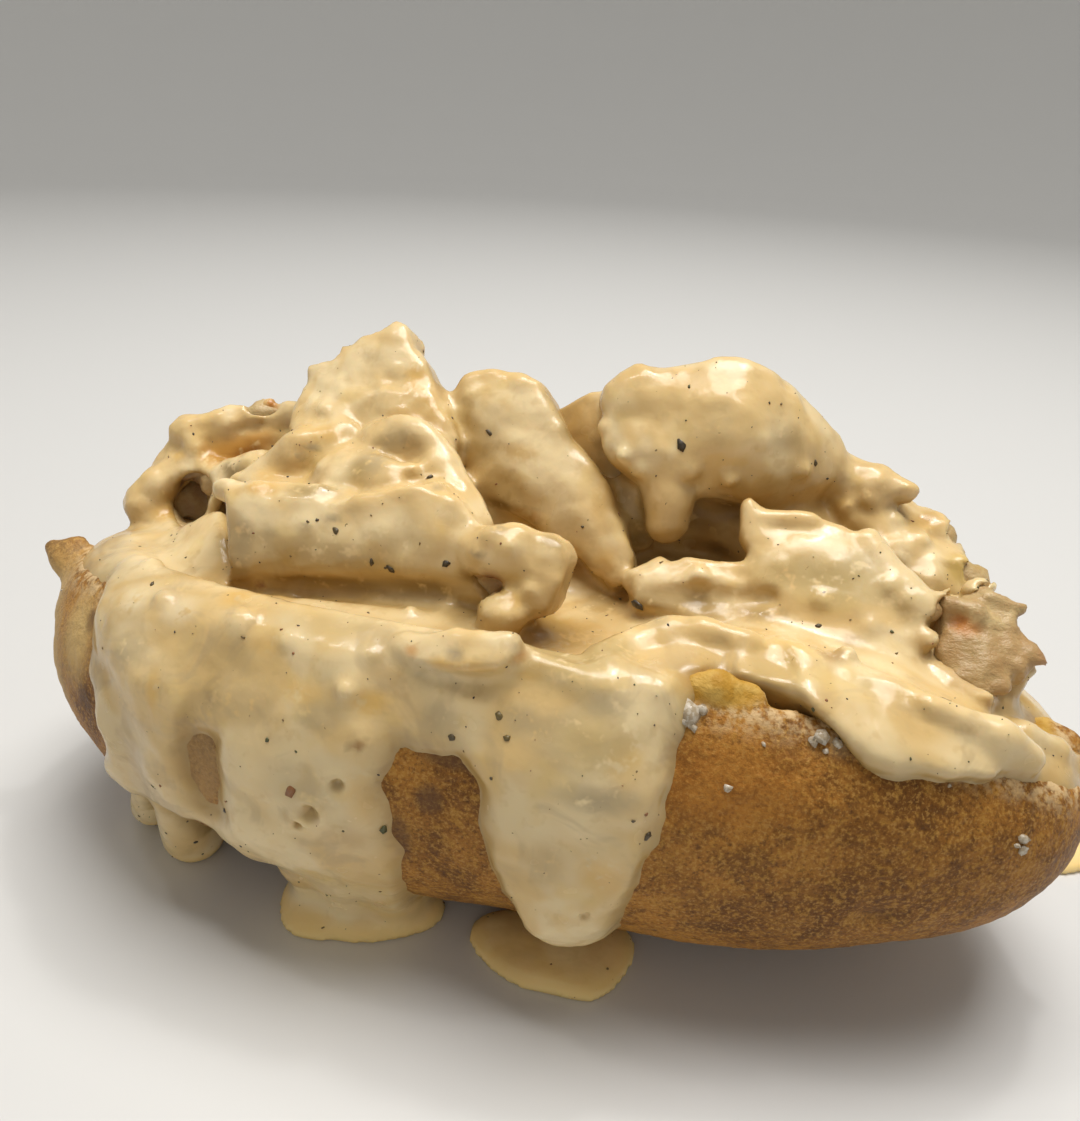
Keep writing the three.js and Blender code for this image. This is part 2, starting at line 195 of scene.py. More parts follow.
def noise(x, y, z, seed=0):
    x, y, z = np.broadcast_arrays(x, y, z)
    xi, yi, zi = np.floor(x), np.floor(y), np.floor(z)
    fx, fy, fz = x - xi, y - yi, z - zi
    xi, yi, zi = xi.astype(np.int64), yi.astype(np.int64), zi.astype(np.int64)
    u, v, w = [t * t * t * (t * (t * 6 - 15) + 10) for t in (fx, fy, fz)]

    def g(dx, dy, dz):
        h = _hash(xi + dx, yi + dy, zi + dz, seed)
        a = (h & 1023) * (2 * math.pi / 1024)
        b = ((h >> 10) & 1023) / 511.5 - 1
        s = np.sqrt(np.maximum(0, 1 - b * b))
        return np.cos(a) * s * (fx - dx) + np.sin(a) * s * (fy - dy) + b * (fz - dz)

    def L(a, b, t):
        return a + (b - a) * t
    r = L(L(L(g(0, 0, 0), g(1, 0, 0), u), L(g(0, 1, 0), g(1, 1, 0), u), v),
          L(L(g(0, 0, 1), g(1, 0, 1), u), L(g(0, 1, 1), g(1, 1, 1), u), v), w)
    return (r * 1.6).astype(F32)


def pnoise(P, wl, seed):
    return noise(P[:, 0] / wl, P[:, 1] / wl, P[:, 2] / wl, seed)


def gnoise(wl, seed):
    """the same noise over the grid, made coarsely and interpolated"""
    st = max(1, int(wl / 5 / VOX))
    if st == 1:
        return noise(X / wl, Y / wl, Z / wl, seed)
    nx = [int(math.ceil((N[i] - 1) / st)) + 1 for i in range(3)]
    a = noise((LO[0] + np.arange(nx[0]) * st * VOX)[:, None, None] / wl,
              (LO[1] + np.arange(nx[1]) * st * VOX)[None, :, None] / wl,
              (LO[2] + np.arange(nx[2]) * st * VOX)[None, None, :] / wl, seed)
    for ax in range(3):
        n = N[ax]; p = np.arange(n) / st
        i = np.minimum(p.astype(int), a.shape[ax] - 2); t = (p - i).astype(F32)
        A = np.take(a, i, ax); B = np.take(a, i + 1, ax)
        sh = [1, 1, 1]; sh[ax] = n
        a = A + (B - A) * t.reshape(sh)
    return a


def poly_sd(px, py, poly):
    """signed distance to a closed outline, negative inside"""
    d = np.full(np.broadcast(px, py).shape, 1e9); inside = np.zeros(d.shape, bool)
    n = len(poly)
    for i in range(n):
        a = poly[i]; b = poly[(i + 1) % n]; e = b - a
        wx, wy = px - a[0], py - a[1]
        t = np.clip((wx * e[0] + wy * e[1]) / (e @ e + 1e-12), 0, 1)
        d = np.minimum(d, (wx - e[0] * t) ** 2 + (wy - e[1] * t) ** 2)
        c = ((a[1] <= py) & (b[1] > py)) | ((b[1] <= py) & (a[1] > py))
        den = b[1] - a[1]
        xx = a[0] + (py - a[1]) / (den if abs(den) > 1e-9 else 1e-9) * e[0]
        inside ^= c & (px < xx)
    d = np.sqrt(d)
    return np.where(inside, -d, d).astype(F32)


def spline(pts, n=5):
    """a smooth open curve through the points"""
    P = np.array(pts, float); m = len(P); out = []
    for i in range(m - 1):
        p0, p1, p2, p3 = [P[min(max(i + j, 0), m - 1)] for j in (-1, 0, 1, 2)]
        for s in range(n):
            t = s / n
            out.append(0.5 * ((2 * p1) + (-p0 + p2) * t + (2 * p0 - 5 * p1 + 4 * p2 - p3) * t * t + (-p0 + 3 * p1 - 3 * p2 + p3) * t ** 3))
    out.append(P[-1])
    return np.array(out)




# ------------------------------------------------------------------ potato
HALF_LEFT, HALF_RIGHT, HALF_WIDTH = 70.5, 68.5, 38.0
AXIS_HEIGHT, CROWN, BELLY = 25.0, 29.0, 26.0


def along(x):
    return np.where(x < 0, x / HALF_LEFT, x / HALF_RIGHT)


def spine_y(x):
    u = along(x)
    return np.where(x > 0, -12.5 * u * u, -4.0 * u * u)


U = along(X).astype(F32)
YY = (Y - spine_y(X)).astype(F32)


def potato_hull():
    p = np.where(X < 0, 2.2, 2.1)
    zc = AXIS_HEIGHT + 1.5 * np.clip(-U, 0, 1) ** 2 + 0.5 * np.clip(U, 0, 1) ** 2
    hz = np.where(Z < zc, BELLY, CROWN) * (1.0 - 0.03 * U)
    r = (np.abs(YY / HALF_WIDTH) ** 2.3 + np.abs((Z - zc) / hz) ** 2.3) ** (1 / 2.3)
    f = ((np.abs(U) ** p + r ** p) ** (1 / p) - 1).astype(F32)
    g = np.gradient(f, VOX)
    return f / (np.sqrt(g[0] ** 2 + g[1] ** 2 + g[2] ** 2) + 1e-4)


def rim_height(x, y):
    u = along(x)
    r = 44.5 - 1.0 * u - 8.0 * np.abs(u) ** 3 - 4 * np.clip(u, 0, 1) ** 4
    t = np.clip((y + 10) / 30, 0, 1); t = t * t * (3 - 2 * t)
    return (r - t * (3.5 + 4.5 * np.abs(u))).astype(F32)


HULL = potato_hull() + 0.8 * gnoise(34, 3) + 0.35 * gnoise(13, 4) + 0.12 * gnoise(5, 5)
# eyes and shallow dents in the skin
for c, r in (((-64.5, -16.5, 29), (2.2, 1.6, 2.4)), ((-66.5, -15.5, 19.5), (1.8, 1.6, 3.2)), ((-4.5, -39.5, 19), (3.0, 1.6, 2.2)), ((44, -36.5, 22), (2.8, 1.6, 1.6)),
             ((12, -37.8, 29.2), (2.0, 1.0, 1.6)), ((60, -22, 17), (1.6, 1.4, 1.4)), ((20, 38, 24), (2.4, 1.6, 1.8)), ((-30, 37, 20), (2.2, 1.5, 2.0)), ((52, 15, 14), (2.0, 1.6, 1.6))):
    add_ell(HULL, c, r, 2.0, cut=True)
RIM = rim_height(X, Y)
RIN = ((np.abs(U) / 0.86) ** 2.2 + (np.abs(YY) / (27.0 + 2.6 * sstep(-6, -16, Y))) ** 2.2).astype(F32)
CUT = RIM - 9.0 * np.clip(1 - RIN ** (2 / 2.2), 0, 1) ** 0.6 - 0.3 + 0.5 * gnoise(6, 11) + 0.3 * gnoise(2.6, 12)
POTATO = smax(HULL, Z - CUT, 0.9)
# curl of torn skin at the left end, and the torn flap at the right end
for c in ((-64.5, -9, 33.5, 3.6, -69.5, -7.5, 36.2, 2.0), (-69.5, -7.5, 36.2, 1.9, -72.2, -7.0, 37.6, 1.0), (-69.6, -7.5, 36.5, 1.4, -68.2, -6.5, 38.6, 0.9),
          (61.4, -15.5, 35.6, 1.3, 65.4, -14.2, 33.4, 1.5), (65.4, -14.2, 33.4, 1.5, 69.4, -12.6, 29.6, 1.2), (62.4, -13.4, 35.0, 1.2, 66.6, -11.6, 32.4, 1.2),
          (69.4, -12.6, 29.6, 1.2, 69.9, -13.4, 27.0, 0.8)):
    add_cone(POTATO, c, 2.0)
for c in ((19.6, -28.6, 43.6, 1.3, 22.5, -28.6, 43.9, 1.9), (22.5, -28.6, 43.9, 1.9, 27.0, -28.4, 43.4, 1.2)):
    add_cone(POTATO, c, 1.2)
POTATO = np.maximum(POTATO, -Z)
log("potato field", tuple(N))

# ------------------------------------------------------------------ chicken
# prism: plate cut to an outline, given by its face normal, corners, depth in front and behind, edge rounding and blend.
# cone: two round ends with radii.  hull: convex body round points.  cut: an ellipsoid taken out.
# chunk tables begin
CH = {
    "chicken_a": [
        ("prism", (-0.181, -0.759, 0.626), ((-37.6, 4.2, 55.3), (-37.7, 7.1, 58.8), (-38.3, 8.8, 60.6), (-38.8, 10.8, 62.9), (-36.2, 10.7, 63.5), (-34.4, 10.4, 63.8), (-34, 12, 65.8),
         (-32.3, 11.9, 66.2), (-31.4, 12.8, 67.5), (-28.2, 12.7, 68.3), (-26.3, 13.7, 70.1), (-24.5, 12.7, 69.3), (-23.6, 10.7, 67.2), (-22, 9.8, 66.6), (-20.2, 8.2, 65.2), (-18.3, 5.7,
         62.7), (-17, 3.7, 60.6), (-14.2, 1.1, 58.3), (-15.6, -1.8, 54.4), (-24.3, -0.9, 53), (-32.5, 1.9, 53.9)), 0.8, 5, 1.3, 2),
        ("cone", (-34.5, 7, 55, 5, -20.7, 6, 56.8, 5), 3),],
    "chicken_b": [
        ("prism", (-0.005, -0.833, 0.553), ((-58.4, 8.5, 51.8), (-58.1, 9.3, 53), (-56.2, 9.5, 53.4), (-51.4, 9.9, 54), (-51.6, 10.5, 54.9), (-51, 10.7, 55.2), (-50.1, 10, 54.1), (-48.5,
         10.5, 54.9), (-47.5, 11.2, 56.1), (-46.5, 11.6, 56.7), (-45.4, 11.7, 56.8), (-44.8, 11.2, 56.1), (-43.6, 11.4, 56.3), (-42.4, 11, 55.8), (-38.9, 11.1, 55.9), (-35.8, 10.2, 54.6),
         (-36.7, 8, 51.3), (-45, 5.9, 48), (-48.6, 4.5, 45.8), (-53.6, 4.5, 45.8), (-57.6, 4.4, 45.7), (-61.2, 4.4, 45.6), (-59.8, 6.1, 48.2), (-58.6, 7.6, 50.5)), 0.6, 8, 1, 1.5),
        ("cone", (-57.8, 8, 52, 1.6, -51.5, 9, 53.4, 1.7), 1.5),
        ("cone", (-51.5, 9, 53.4, 1.7, -46.6, 10.5, 55.3, 1.5), 1.5),
        ("cone", (-46.6, 10.5, 55.3, 1.6, -39, 11, 54.7, 2.2), 1.5),
        ("cut", (-47.8, 3.6, 50.3), (6.4, 2.2, 3.2), 1.8, 0),
        ("cone", (-56.5, 7.4, 52.1, 1.6, -53.7, 4.6, 46.7, 1.6), 1.2),
        ("cone", (-50.9, 2.5, 46.3, 2.2, -42.8, 1.5, 49.9, 2.6), 2),],
    "chicken_c": [
        ("cone", (-60.2, 3, 44.5, 2.6, -61.7, 2, 42.1, 2.6), 2),
        ("cone", (-61.7, 2, 42.1, 2.6, -60, 1, 39.6, 2.6), 2),
        ("cone", (-60, 1, 39.6, 2.6, -55, -0.5, 39.2, 2.5), 2),
        ("cone", (-60.1, 3, 44.8, 2, -57.5, 5, 46.8, 2), 2),
        ("cone", (-57.5, 5, 46.8, 2, -52.1, 4, 46.5, 2.2), 2),
        ("cone", (-61.9, 8.5, 40.3, 4.2, -56, 8, 40.9, 4), 1.5),
        ("cone", (-49.2, -1, 47, 1.3, -50.4, -2.5, 42.1, 1.6), 2),
        ("cone", (-60.7, 6, 46.3, 1.8, -59.6, 7.5, 48.8, 1.6), 2),],
    "chicken_d": [
        ("hull", ((-28.4, 0, 59.3), (-24.4, 0, 61.7), (-20.2, -1, 63.1), (-15.2, -3, 61.7), (-11.8, -6, 59.1), (-8.9, -9, 56.5), (-5.1, -12.5, 53.1), (-3.3, -15, 51.1), (-5.4, -18, 46.7),
         (-12.1, -18, 45.8), (-19.6, -12.5, 53.2), (-26.2, -9, 52.7), (-30.2, -2, 54.8), (-30, 6, 52), (-12, 4, 52), (-8, -6, 46), (-26, -6, 48)), 2.6, 2.4),
        ("cut", (-22.8, -7.2, 56.6), (5.2, 3.6, 4.4), 2.6, 0),
        ("cut", (-20.3, -6, 58.8), (4.2, 2, 2.4), 2.2, 0),],
    "chicken_d2": [
        ("cone", (-40.3, -3, 50.9, 2.1, -35.5, -1.5, 53.9, 2.9), 2),
        ("cone", (-35.5, -1.5, 53.9, 2.9, -30.5, 0, 55.4, 3), 2),
        ("cone", (-42.9, -5, 50.2, 1.3, -39.2, -6, 50.6, 1.7), 2),
        ("cone", (-29.5, -7, 53.5, 1, -26.2, -9.5, 52.9, 1.2), 1.5),
        ("cone", (-35.9, 3, 55.2, 2.4, -30.6, 3, 56.7, 2.6), 2),
        ("hull", ((-40.4, -7, 51), (-27.5, -9, 52.8), (-41.3, -1, 50.1), (-30.2, -1, 53.5), (-40, 2, 44), (-26, 2, 44), (-24, -6, 46)), 2, 2.5),
        ("cone", (-27.7, -5, 53.5, 3, -20, -8.5, 54.1, 3), 3),],
    "chicken_e": [
        ("prism", (0.019, -0.953, 0.302), ((-40.4, -14.7, 53.7), (-38.8, -14.8, 53.4), (-35.3, -14.9, 53.1), (-29.9, -14.5, 53.8), (-27, -14.4, 53.8), (-23.9, -14.4, 53.8), (-23.2, -14.1,
         54.6), (-19.1, -13.7, 55.7), (-14.8, -13.3, 56.7), (-10.3, -13.6, 55.5), (-7.1, -14.5, 52.3), (-6, -15.8, 48.4), (-6.1, -16.8, 45.1), (-11, -17.5, 43.2), (-18.7, -17.7, 43.1),
         (-25.1, -18, 42.6), (-33, -18.3, 42.1), (-37.1, -18.6, 41.4), (-38.8, -17, 46.4)), 0.4, 7.5, 1.3, 2),
        ("cone", (-41.4, -12.6, 52.5, 1.1, -36.5, -12.6, 52.3, 1.3), 1.5),
        ("cone", (-36.5, -12.6, 52.3, 1.3, -28.1, -12, 53.1, 1.3), 1.5),
        ("cone", (-28.1, -12, 53, 1.2, -24.9, -12, 53, 1.1), 1.2),
        ("groove", (-37.4, -18.8, 42.1, 1.3, -28.8, -18.6, 42.9, 1.9), 1),
        ("groove", (-28.8, -18.6, 42.9, 1.9, -11.9, -18.6, 44.9, 2.1), 1),
        ("groove", (-11.9, -18.6, 44.9, 2.1, -5.7, -18.6, 46.7, 1.5), 1),],
    "chicken_f": [
        ("prism", (-0.152, -0.895, 0.42), ((-6.5, -16.7, 49.9), (-6, -16.1, 51.5), (-4.1, -15.8, 52.8), (-1.1, -15.9, 53.6), (2, -16.3, 54), (3.8, -16.9, 53.2), (4.6, -17.7, 52), (4.3,
         -18.7, 49.6), (3.8, -19.7, 47.3), (2.9, -20.4, 45.6), (-0.1, -20.6, 44), (-2.4, -20.9, 42.4), (-4.2, -20.6, 42.6), (-4.9, -19.6, 44.3), (-4.4, -18.9, 46), (-2.9, -18.8, 46.8),
         (-1.6, -18.7, 47.5), (-2.4, -18.3, 48.1), (-3.7, -17.9, 48.5), (-5, -17.7, 48.5)), 1.2, 3.6, 1.5, 1.5),
        ("cone", (-7.3, -15.5, 50.3, 2.2, -2.4, -16.6, 51.9, 2.6), 1.5),
        ("cone", (-6.8, -16.5, 48.5, 1.5, -2.7, -17.5, 50.1, 2.4), 1.5),
        ("cone", (-5.9, -14.6, 45.4, 2.6, -2, -15, 45.6, 3), 1.5),
        ("cone", (-2.4, -20.2, 45, 2.5, -2.3, -21, 44.5, 2.5), 1.2),],
    "chicken_g": [
        ("prism", (-0.118, -0.852, 0.511), ((-16.7, 7, 59.6), (-16.4, 8.4, 62.1), (-15.4, 9.5, 64.1), (-13.3, 10, 65.4), (-10.4, 9.8, 65.7), (-7.2, 9.2, 65.5), (-4.7, 8.3, 64.6), (-2.8, 7,
         62.8), (-0.3, 5, 60), (3.9, 2.5, 56.8), (6.5, 0.5, 54.2), (9.1, -2.1, 50.4), (11.3, -4.6, 46.7), (11.5, -6.1, 44.4), (9.3, -6.6, 43), (6.5, -5.5, 44.1), (3.2, -3.9, 46.1), (-0.3,
         -2.7, 47.1), (-4.6, -1.1, 48.8), (-8.5, 0.2, 50.1), (-11.8, 1.1, 50.8), (-14.1, 3.9, 55.1)), 1, 4.2, 1.6, 2),
        ("hull", ((-14.9, 11, 61.1), (-5, 12, 61.8), (-15.5, 8, 55.3), (-0.8, 6, 56.2), (-12, 14, 52), (2, 12, 50)), 2, 2),],
    "chicken_h": [
        ("hull", ((-4.1, 16, 59.7), (-2.4, 16, 60.7), (1.5, 16, 63), (4.2, 15, 63.3), (5, 9, 55.8), (10.6, 6, 53.2), (0.7, 10, 56.5), (-2, 20, 52), (8, 20, 52), (8, 8, 46), (-2, 10, 48)), 2,
         2),
        ("prism", (-0.151, -0.974, 0.167), ((5.2, 3.6, 51.7), (7, 3.6, 53.6), (10.5, 3.6, 56.5), (12.2, 3.2, 55.9), (13.5, 1.9, 49.3), (12.9, 1.3, 45.3), (9.4, 1.6, 44.1), (7.1, 2.6, 47.4)),
         0.2, 2.2, 0.8, 1.5),],
    "chicken_i": [
        ("prism", (0.039, -0.924, 0.381), ((4.9, 4.5, 61.9), (4.3, 5.3, 63.8), (4.6, 6.1, 65.7), (6.2, 6.9, 67.5), (8.6, 7.7, 69.1), (11.5, 7.7, 68.7), (15.7, 7.9, 68.9), (19.9, 8.4, 69.6),
         (22.9, 8.4, 69.3), (25.6, 8, 68.2), (27.6, 7.4, 66.6), (29, 5.8, 62.5), (28.8, 3.3, 56.5), (24.7, 2.1, 54), (18.9, 1.7, 53.5), (16.1, 1.9, 54.3), (11.9, 2.5, 56.1), (8.1, 2.8,
         57.4), (6.4, 3.3, 58.8), (6.5, 4, 60.3)), 1.6, 11, 3, 3),
        ("prism", (0.437, -0.824, 0.36), ((22.2, 9.9, 68.8), (25.8, 11.3, 67.5), (27.8, 11.5, 65.4), (28.9, 11.2, 63.6), (31.1, 11.8, 62.2), (33.8, 12.6, 60.8), (36, 12.7, 58.5), (37.5,
         12.4, 55.8), (37.3, 11.6, 54.2), (34.1, 9.9, 54.2), (31.9, 8.4, 53.4), (28.3, 5.9, 52.1), (23.4, 4, 53.8)), 2, 11, 3, 3),
        ("cone", (13.7, 2.5, 57.4, 2.8, 14.6, 1, 53.5, 2.9), 1),
        ("cone", (14.6, 1, 53.5, 2.9, 15, 0, 50.1, 2.6), 1),
        ("cone", (6.9, 4, 59.8, 1.6, 10.3, 3, 58.5, 2.2), 2),
        ("cone", (10.4, 3.4, 57.7, 2.2, 20.5, 3.6, 60.9, 4), 4),
        ("cone", (22.4, 8.5, 60.6, 5.4, 31.6, 11, 56.2, 4.6), 5),
        ("cone", (20.1, 9, 63, 4.6, 26.8, 11, 60.9, 4.6), 5),],
    "chicken_j": [
        ("prism", (0.282, -0.337, 0.898), ((37.5, 11.6, 53.5), (39, 13.8, 53.8), (41.1, 15.6, 53.9), (44.4, 17.2, 53.4), (45.6, 15.9, 52.5), (47, 14.7, 51.6), (48.4, 13, 50.5), (50.5, 14,
         50.3), (52.3, 13.1, 49.4), (53.1, 11.3, 48.4), (52.6, 8.8, 47.7), (54.8, 8.2, 46.8), (57.7, 6.9, 45.4), (58.5, 4.6, 44.2), (55, 0.8, 43.9), (49.3, -2.1, 44.6), (45.6, 0.9, 46.9),
         (40.4, 5, 50.1), (37.7, 7.1, 51.7)), 0.8, 6, 1.5, 2),
        ("cone", (51, 10, 49.3, 1.5, 52.2, 9.5, 48.2, 1.6), 2),
        ("cone", (45.8, 9, 54.6, 1.3, 42.7, 10.5, 54.6, 1.6), 2),
        ("cone", (54.4, 5, 45.8, 2, 56.2, 4.5, 45.1, 2), 2),
        ("cone", (36.2, 12, 54.6, 3.2, 40.7, 11, 53.2, 3.4), 3),],
    "chicken_k": [
        ("prism", (-0.075, -0.697, 0.713), ((24.3, -2.8, 54.7), (25, -2.5, 55.1), (26, -3.1, 54.6), (28, -3.9, 54), (30.4, -4.4, 53.9), (33.1, -4, 54.5), (34.2, -3.6, 55), (36.4, -4.3,
         54.5), (39.3, -6, 53.2), (42, -8.1, 51.4), (44.2, -10.8, 49), (47, -14.6, 45.6), (44.4, -16.6, 43.4), (38.3, -15.9, 43.3), (32.6, -15.3, 43.4), (25.4, -13.9, 44), (19.4, -13.4,
         43.8), (12.7, -12.5, 44), (11.5, -10.9, 45.5), (12.1, -9.6, 46.8), (14.9, -8.6, 48.1), (18, -7.8, 49.2), (22.2, -8.1, 49.3), (25.1, -8.1, 49.6), (26.2, -6.9, 50.9), (25, -5.1,
         52.5)), 0, 3.8, 1, 1.6),
        ("hull", ((27, -8, 50), (33.9, -6, 52.7), (41.5, -8, 49.3), (44.4, -10, 45.3), (39.5, -15, 43.3), (30.2, -14, 43.9), (30, 0, 46), (42, 0, 43), (28, -8, 42)), 2, 3),
        ("groove", (13.6, -12.2, 46, 1.3, 20.3, -12.4, 46.5, 2.1), 1.2),
        ("groove", (20.3, -12.4, 46.5, 2.1, 28.5, -12.4, 47.2, 1.5), 1.2),
        ("cone", (25, -3, 55, 0.6, 26.5, -5, 51.3, 1.6), 1),
        ("cone", (26.1, -3.6, 53.9, 0.7, 32.8, -4, 54.4, 0.9), 1),
        ("cone", (39.8, -4.5, 52.9, 1.2, 44.5, -8.5, 48.6, 1.3), 1.6),
        ("cone", (44.4, -9, 48.6, 1.8, 47.2, -11, 47.7, 1.6), 2),
        ("cone", (11.8, -8, 45, 1, 15, -7, 46.8, 1.1), 1.4),],
    "chicken_l": [
        ("prism", (-0.033, -0.585, 0.811), ((47.7, -11.5, 46), (48.1, -9, 47.8), (49.8, -7.8, 48.8), (51.1, -7.8, 48.8), (52, -6.4, 49.9), (53.8, -5.7, 50.4), (54.6, -6.9, 49.6), (55.8,
         -7.5, 49.3), (56.6, -7.8, 49), (57.5, -8.2, 48.8), (57.8, -9, 48.2), (57.4, -10.1, 47.4), (57.9, -11.3, 46.5), (58.5, -12.4, 45.8), (59.3, -12.7, 45.6), (59.8, -13.6, 45), (59.6,
         -14.8, 44.1), (58.7, -15.4, 43.6), (58.1, -16.1, 43.1), (57.2, -16.3, 42.9), (56.3, -17.4, 42.1), (55.3, -17.7, 41.9), (53.9, -18.8, 41), (50.9, -18.3, 41.2), (49.1, -17.5, 41.7),
         (48.1, -14.6, 43.8)), 1, 6.5, 1.2, 1.2),
        ("cone", (49, -10, 48.5, 1.3, 52.2, -11, 48.2, 1.5), 1.2),
        ("cone", (56.1, -9, 48.8, 1, 57.8, -9, 48.5, 1), 0.8),
        ("cone", (58.6, -13, 44.9, 1.4, 60.2, -13.5, 44.1, 1), 0.8),
        ("cone", (52.5, -11.6, 44.7, 1.5, 53.8, -12.6, 43.9, 1.3), 1),
        ("cone", (55.5, -10.4, 46.2, 1.5, 56.7, -11.4, 45.3, 1.2), 1),
        ("cone", (51.1, -14, 42.9, 1.5, 52.5, -15.4, 42.4, 1.4), 1),
        ("cone", (56.3, -13.8, 43.7, 1.6, 57.6, -14.6, 43, 1.2), 1),
        ("cone", (53.9, -8.6, 49, 1.2, 55.2, -9, 48.6, 1.1), 0.8),
        ("cone", (54, -16, 42.7, 1.4, 55.2, -17, 42.2, 1.2), 1),],
    "chicken_m": [
        ("hull", ((-43, 13, 50), (-34, 14, 53), (-26, 15, 52.5), (-24, 21, 49.5), (-32, 24, 49), (-44, 20, 44), (-28, 28, 42), (-41, 24, 41), (-24, 16, 42)), 1.8, 2.4),
        ("cone", (-30, 24, 45, 3.2, -20, 25.5, 43, 2.8), 2.4),
        ("cone", (-44, 17, 46, 2.2, -38, 13, 51.5, 2.2), 2),],
    "chicken_n": [
        ("prism", (-0.239, -0.547, 0.803), ((-10.8, -31.6, 44.7), (-9.4, -30.8, 45.6), (-5.3, -31.5, 46.3), (-1.5, -32.1, 47.1), (0.3, -31.7, 47.9), (1.3, -32.3, 47.8), (1.4, -33.6, 46.9),
         (0.3, -34.2, 46.2), (-4.1, -34, 45), (-7.8, -33.3, 44.4), (-10, -32.6, 44.2)), 0.9, 2.4, 0.8, 1),
        ("cone", (-10.8, -30.8, 45, 1.1, -5.4, -31.2, 46.4, 1.3), 0.8),
        ("cone", (-5.4, -31.2, 46.4, 1.3, 0.2, -31.8, 47.5, 1.2), 0.8),
        ("cone", (0.2, -31.8, 47.5, 1.2, 1, -32, 48.1, 0.8), 0.6),],
    "chicken_o": [
        ("hull", ((-9, 17, 52), (-2, 17, 55), (6, 18, 55), (12, 19, 52.5), (14, 24, 48), (6, 27, 47), (-8, 26, 45), (4, 30, 43), (-5, 16, 43), (12, 16, 43)), 1.8, 2.4),
        ("cone", (-6, 25, 47, 2.8, -14, 24, 46, 2.4), 2.4),
        ("cone", (8, 22, 52, 2.6, 17, 20, 52, 2.8), 2.4),],
    "chicken_p": [
        ("hull", ((24, 17, 53), (31, 17, 54.5), (38, 16, 50.6), (41, 20, 45), (33, 24, 47), (26, 25, 45), (34, 27, 41), (26, 14, 42), (38, 13, 42)), 1.8, 2.4),
        ("cone", (36, 21, 45, 2.8, 44, 18, 43, 2.6), 2.4),
        ("cone", (23, 22, 48, 2.6, 29, 26, 43, 2.6), 2),],
}
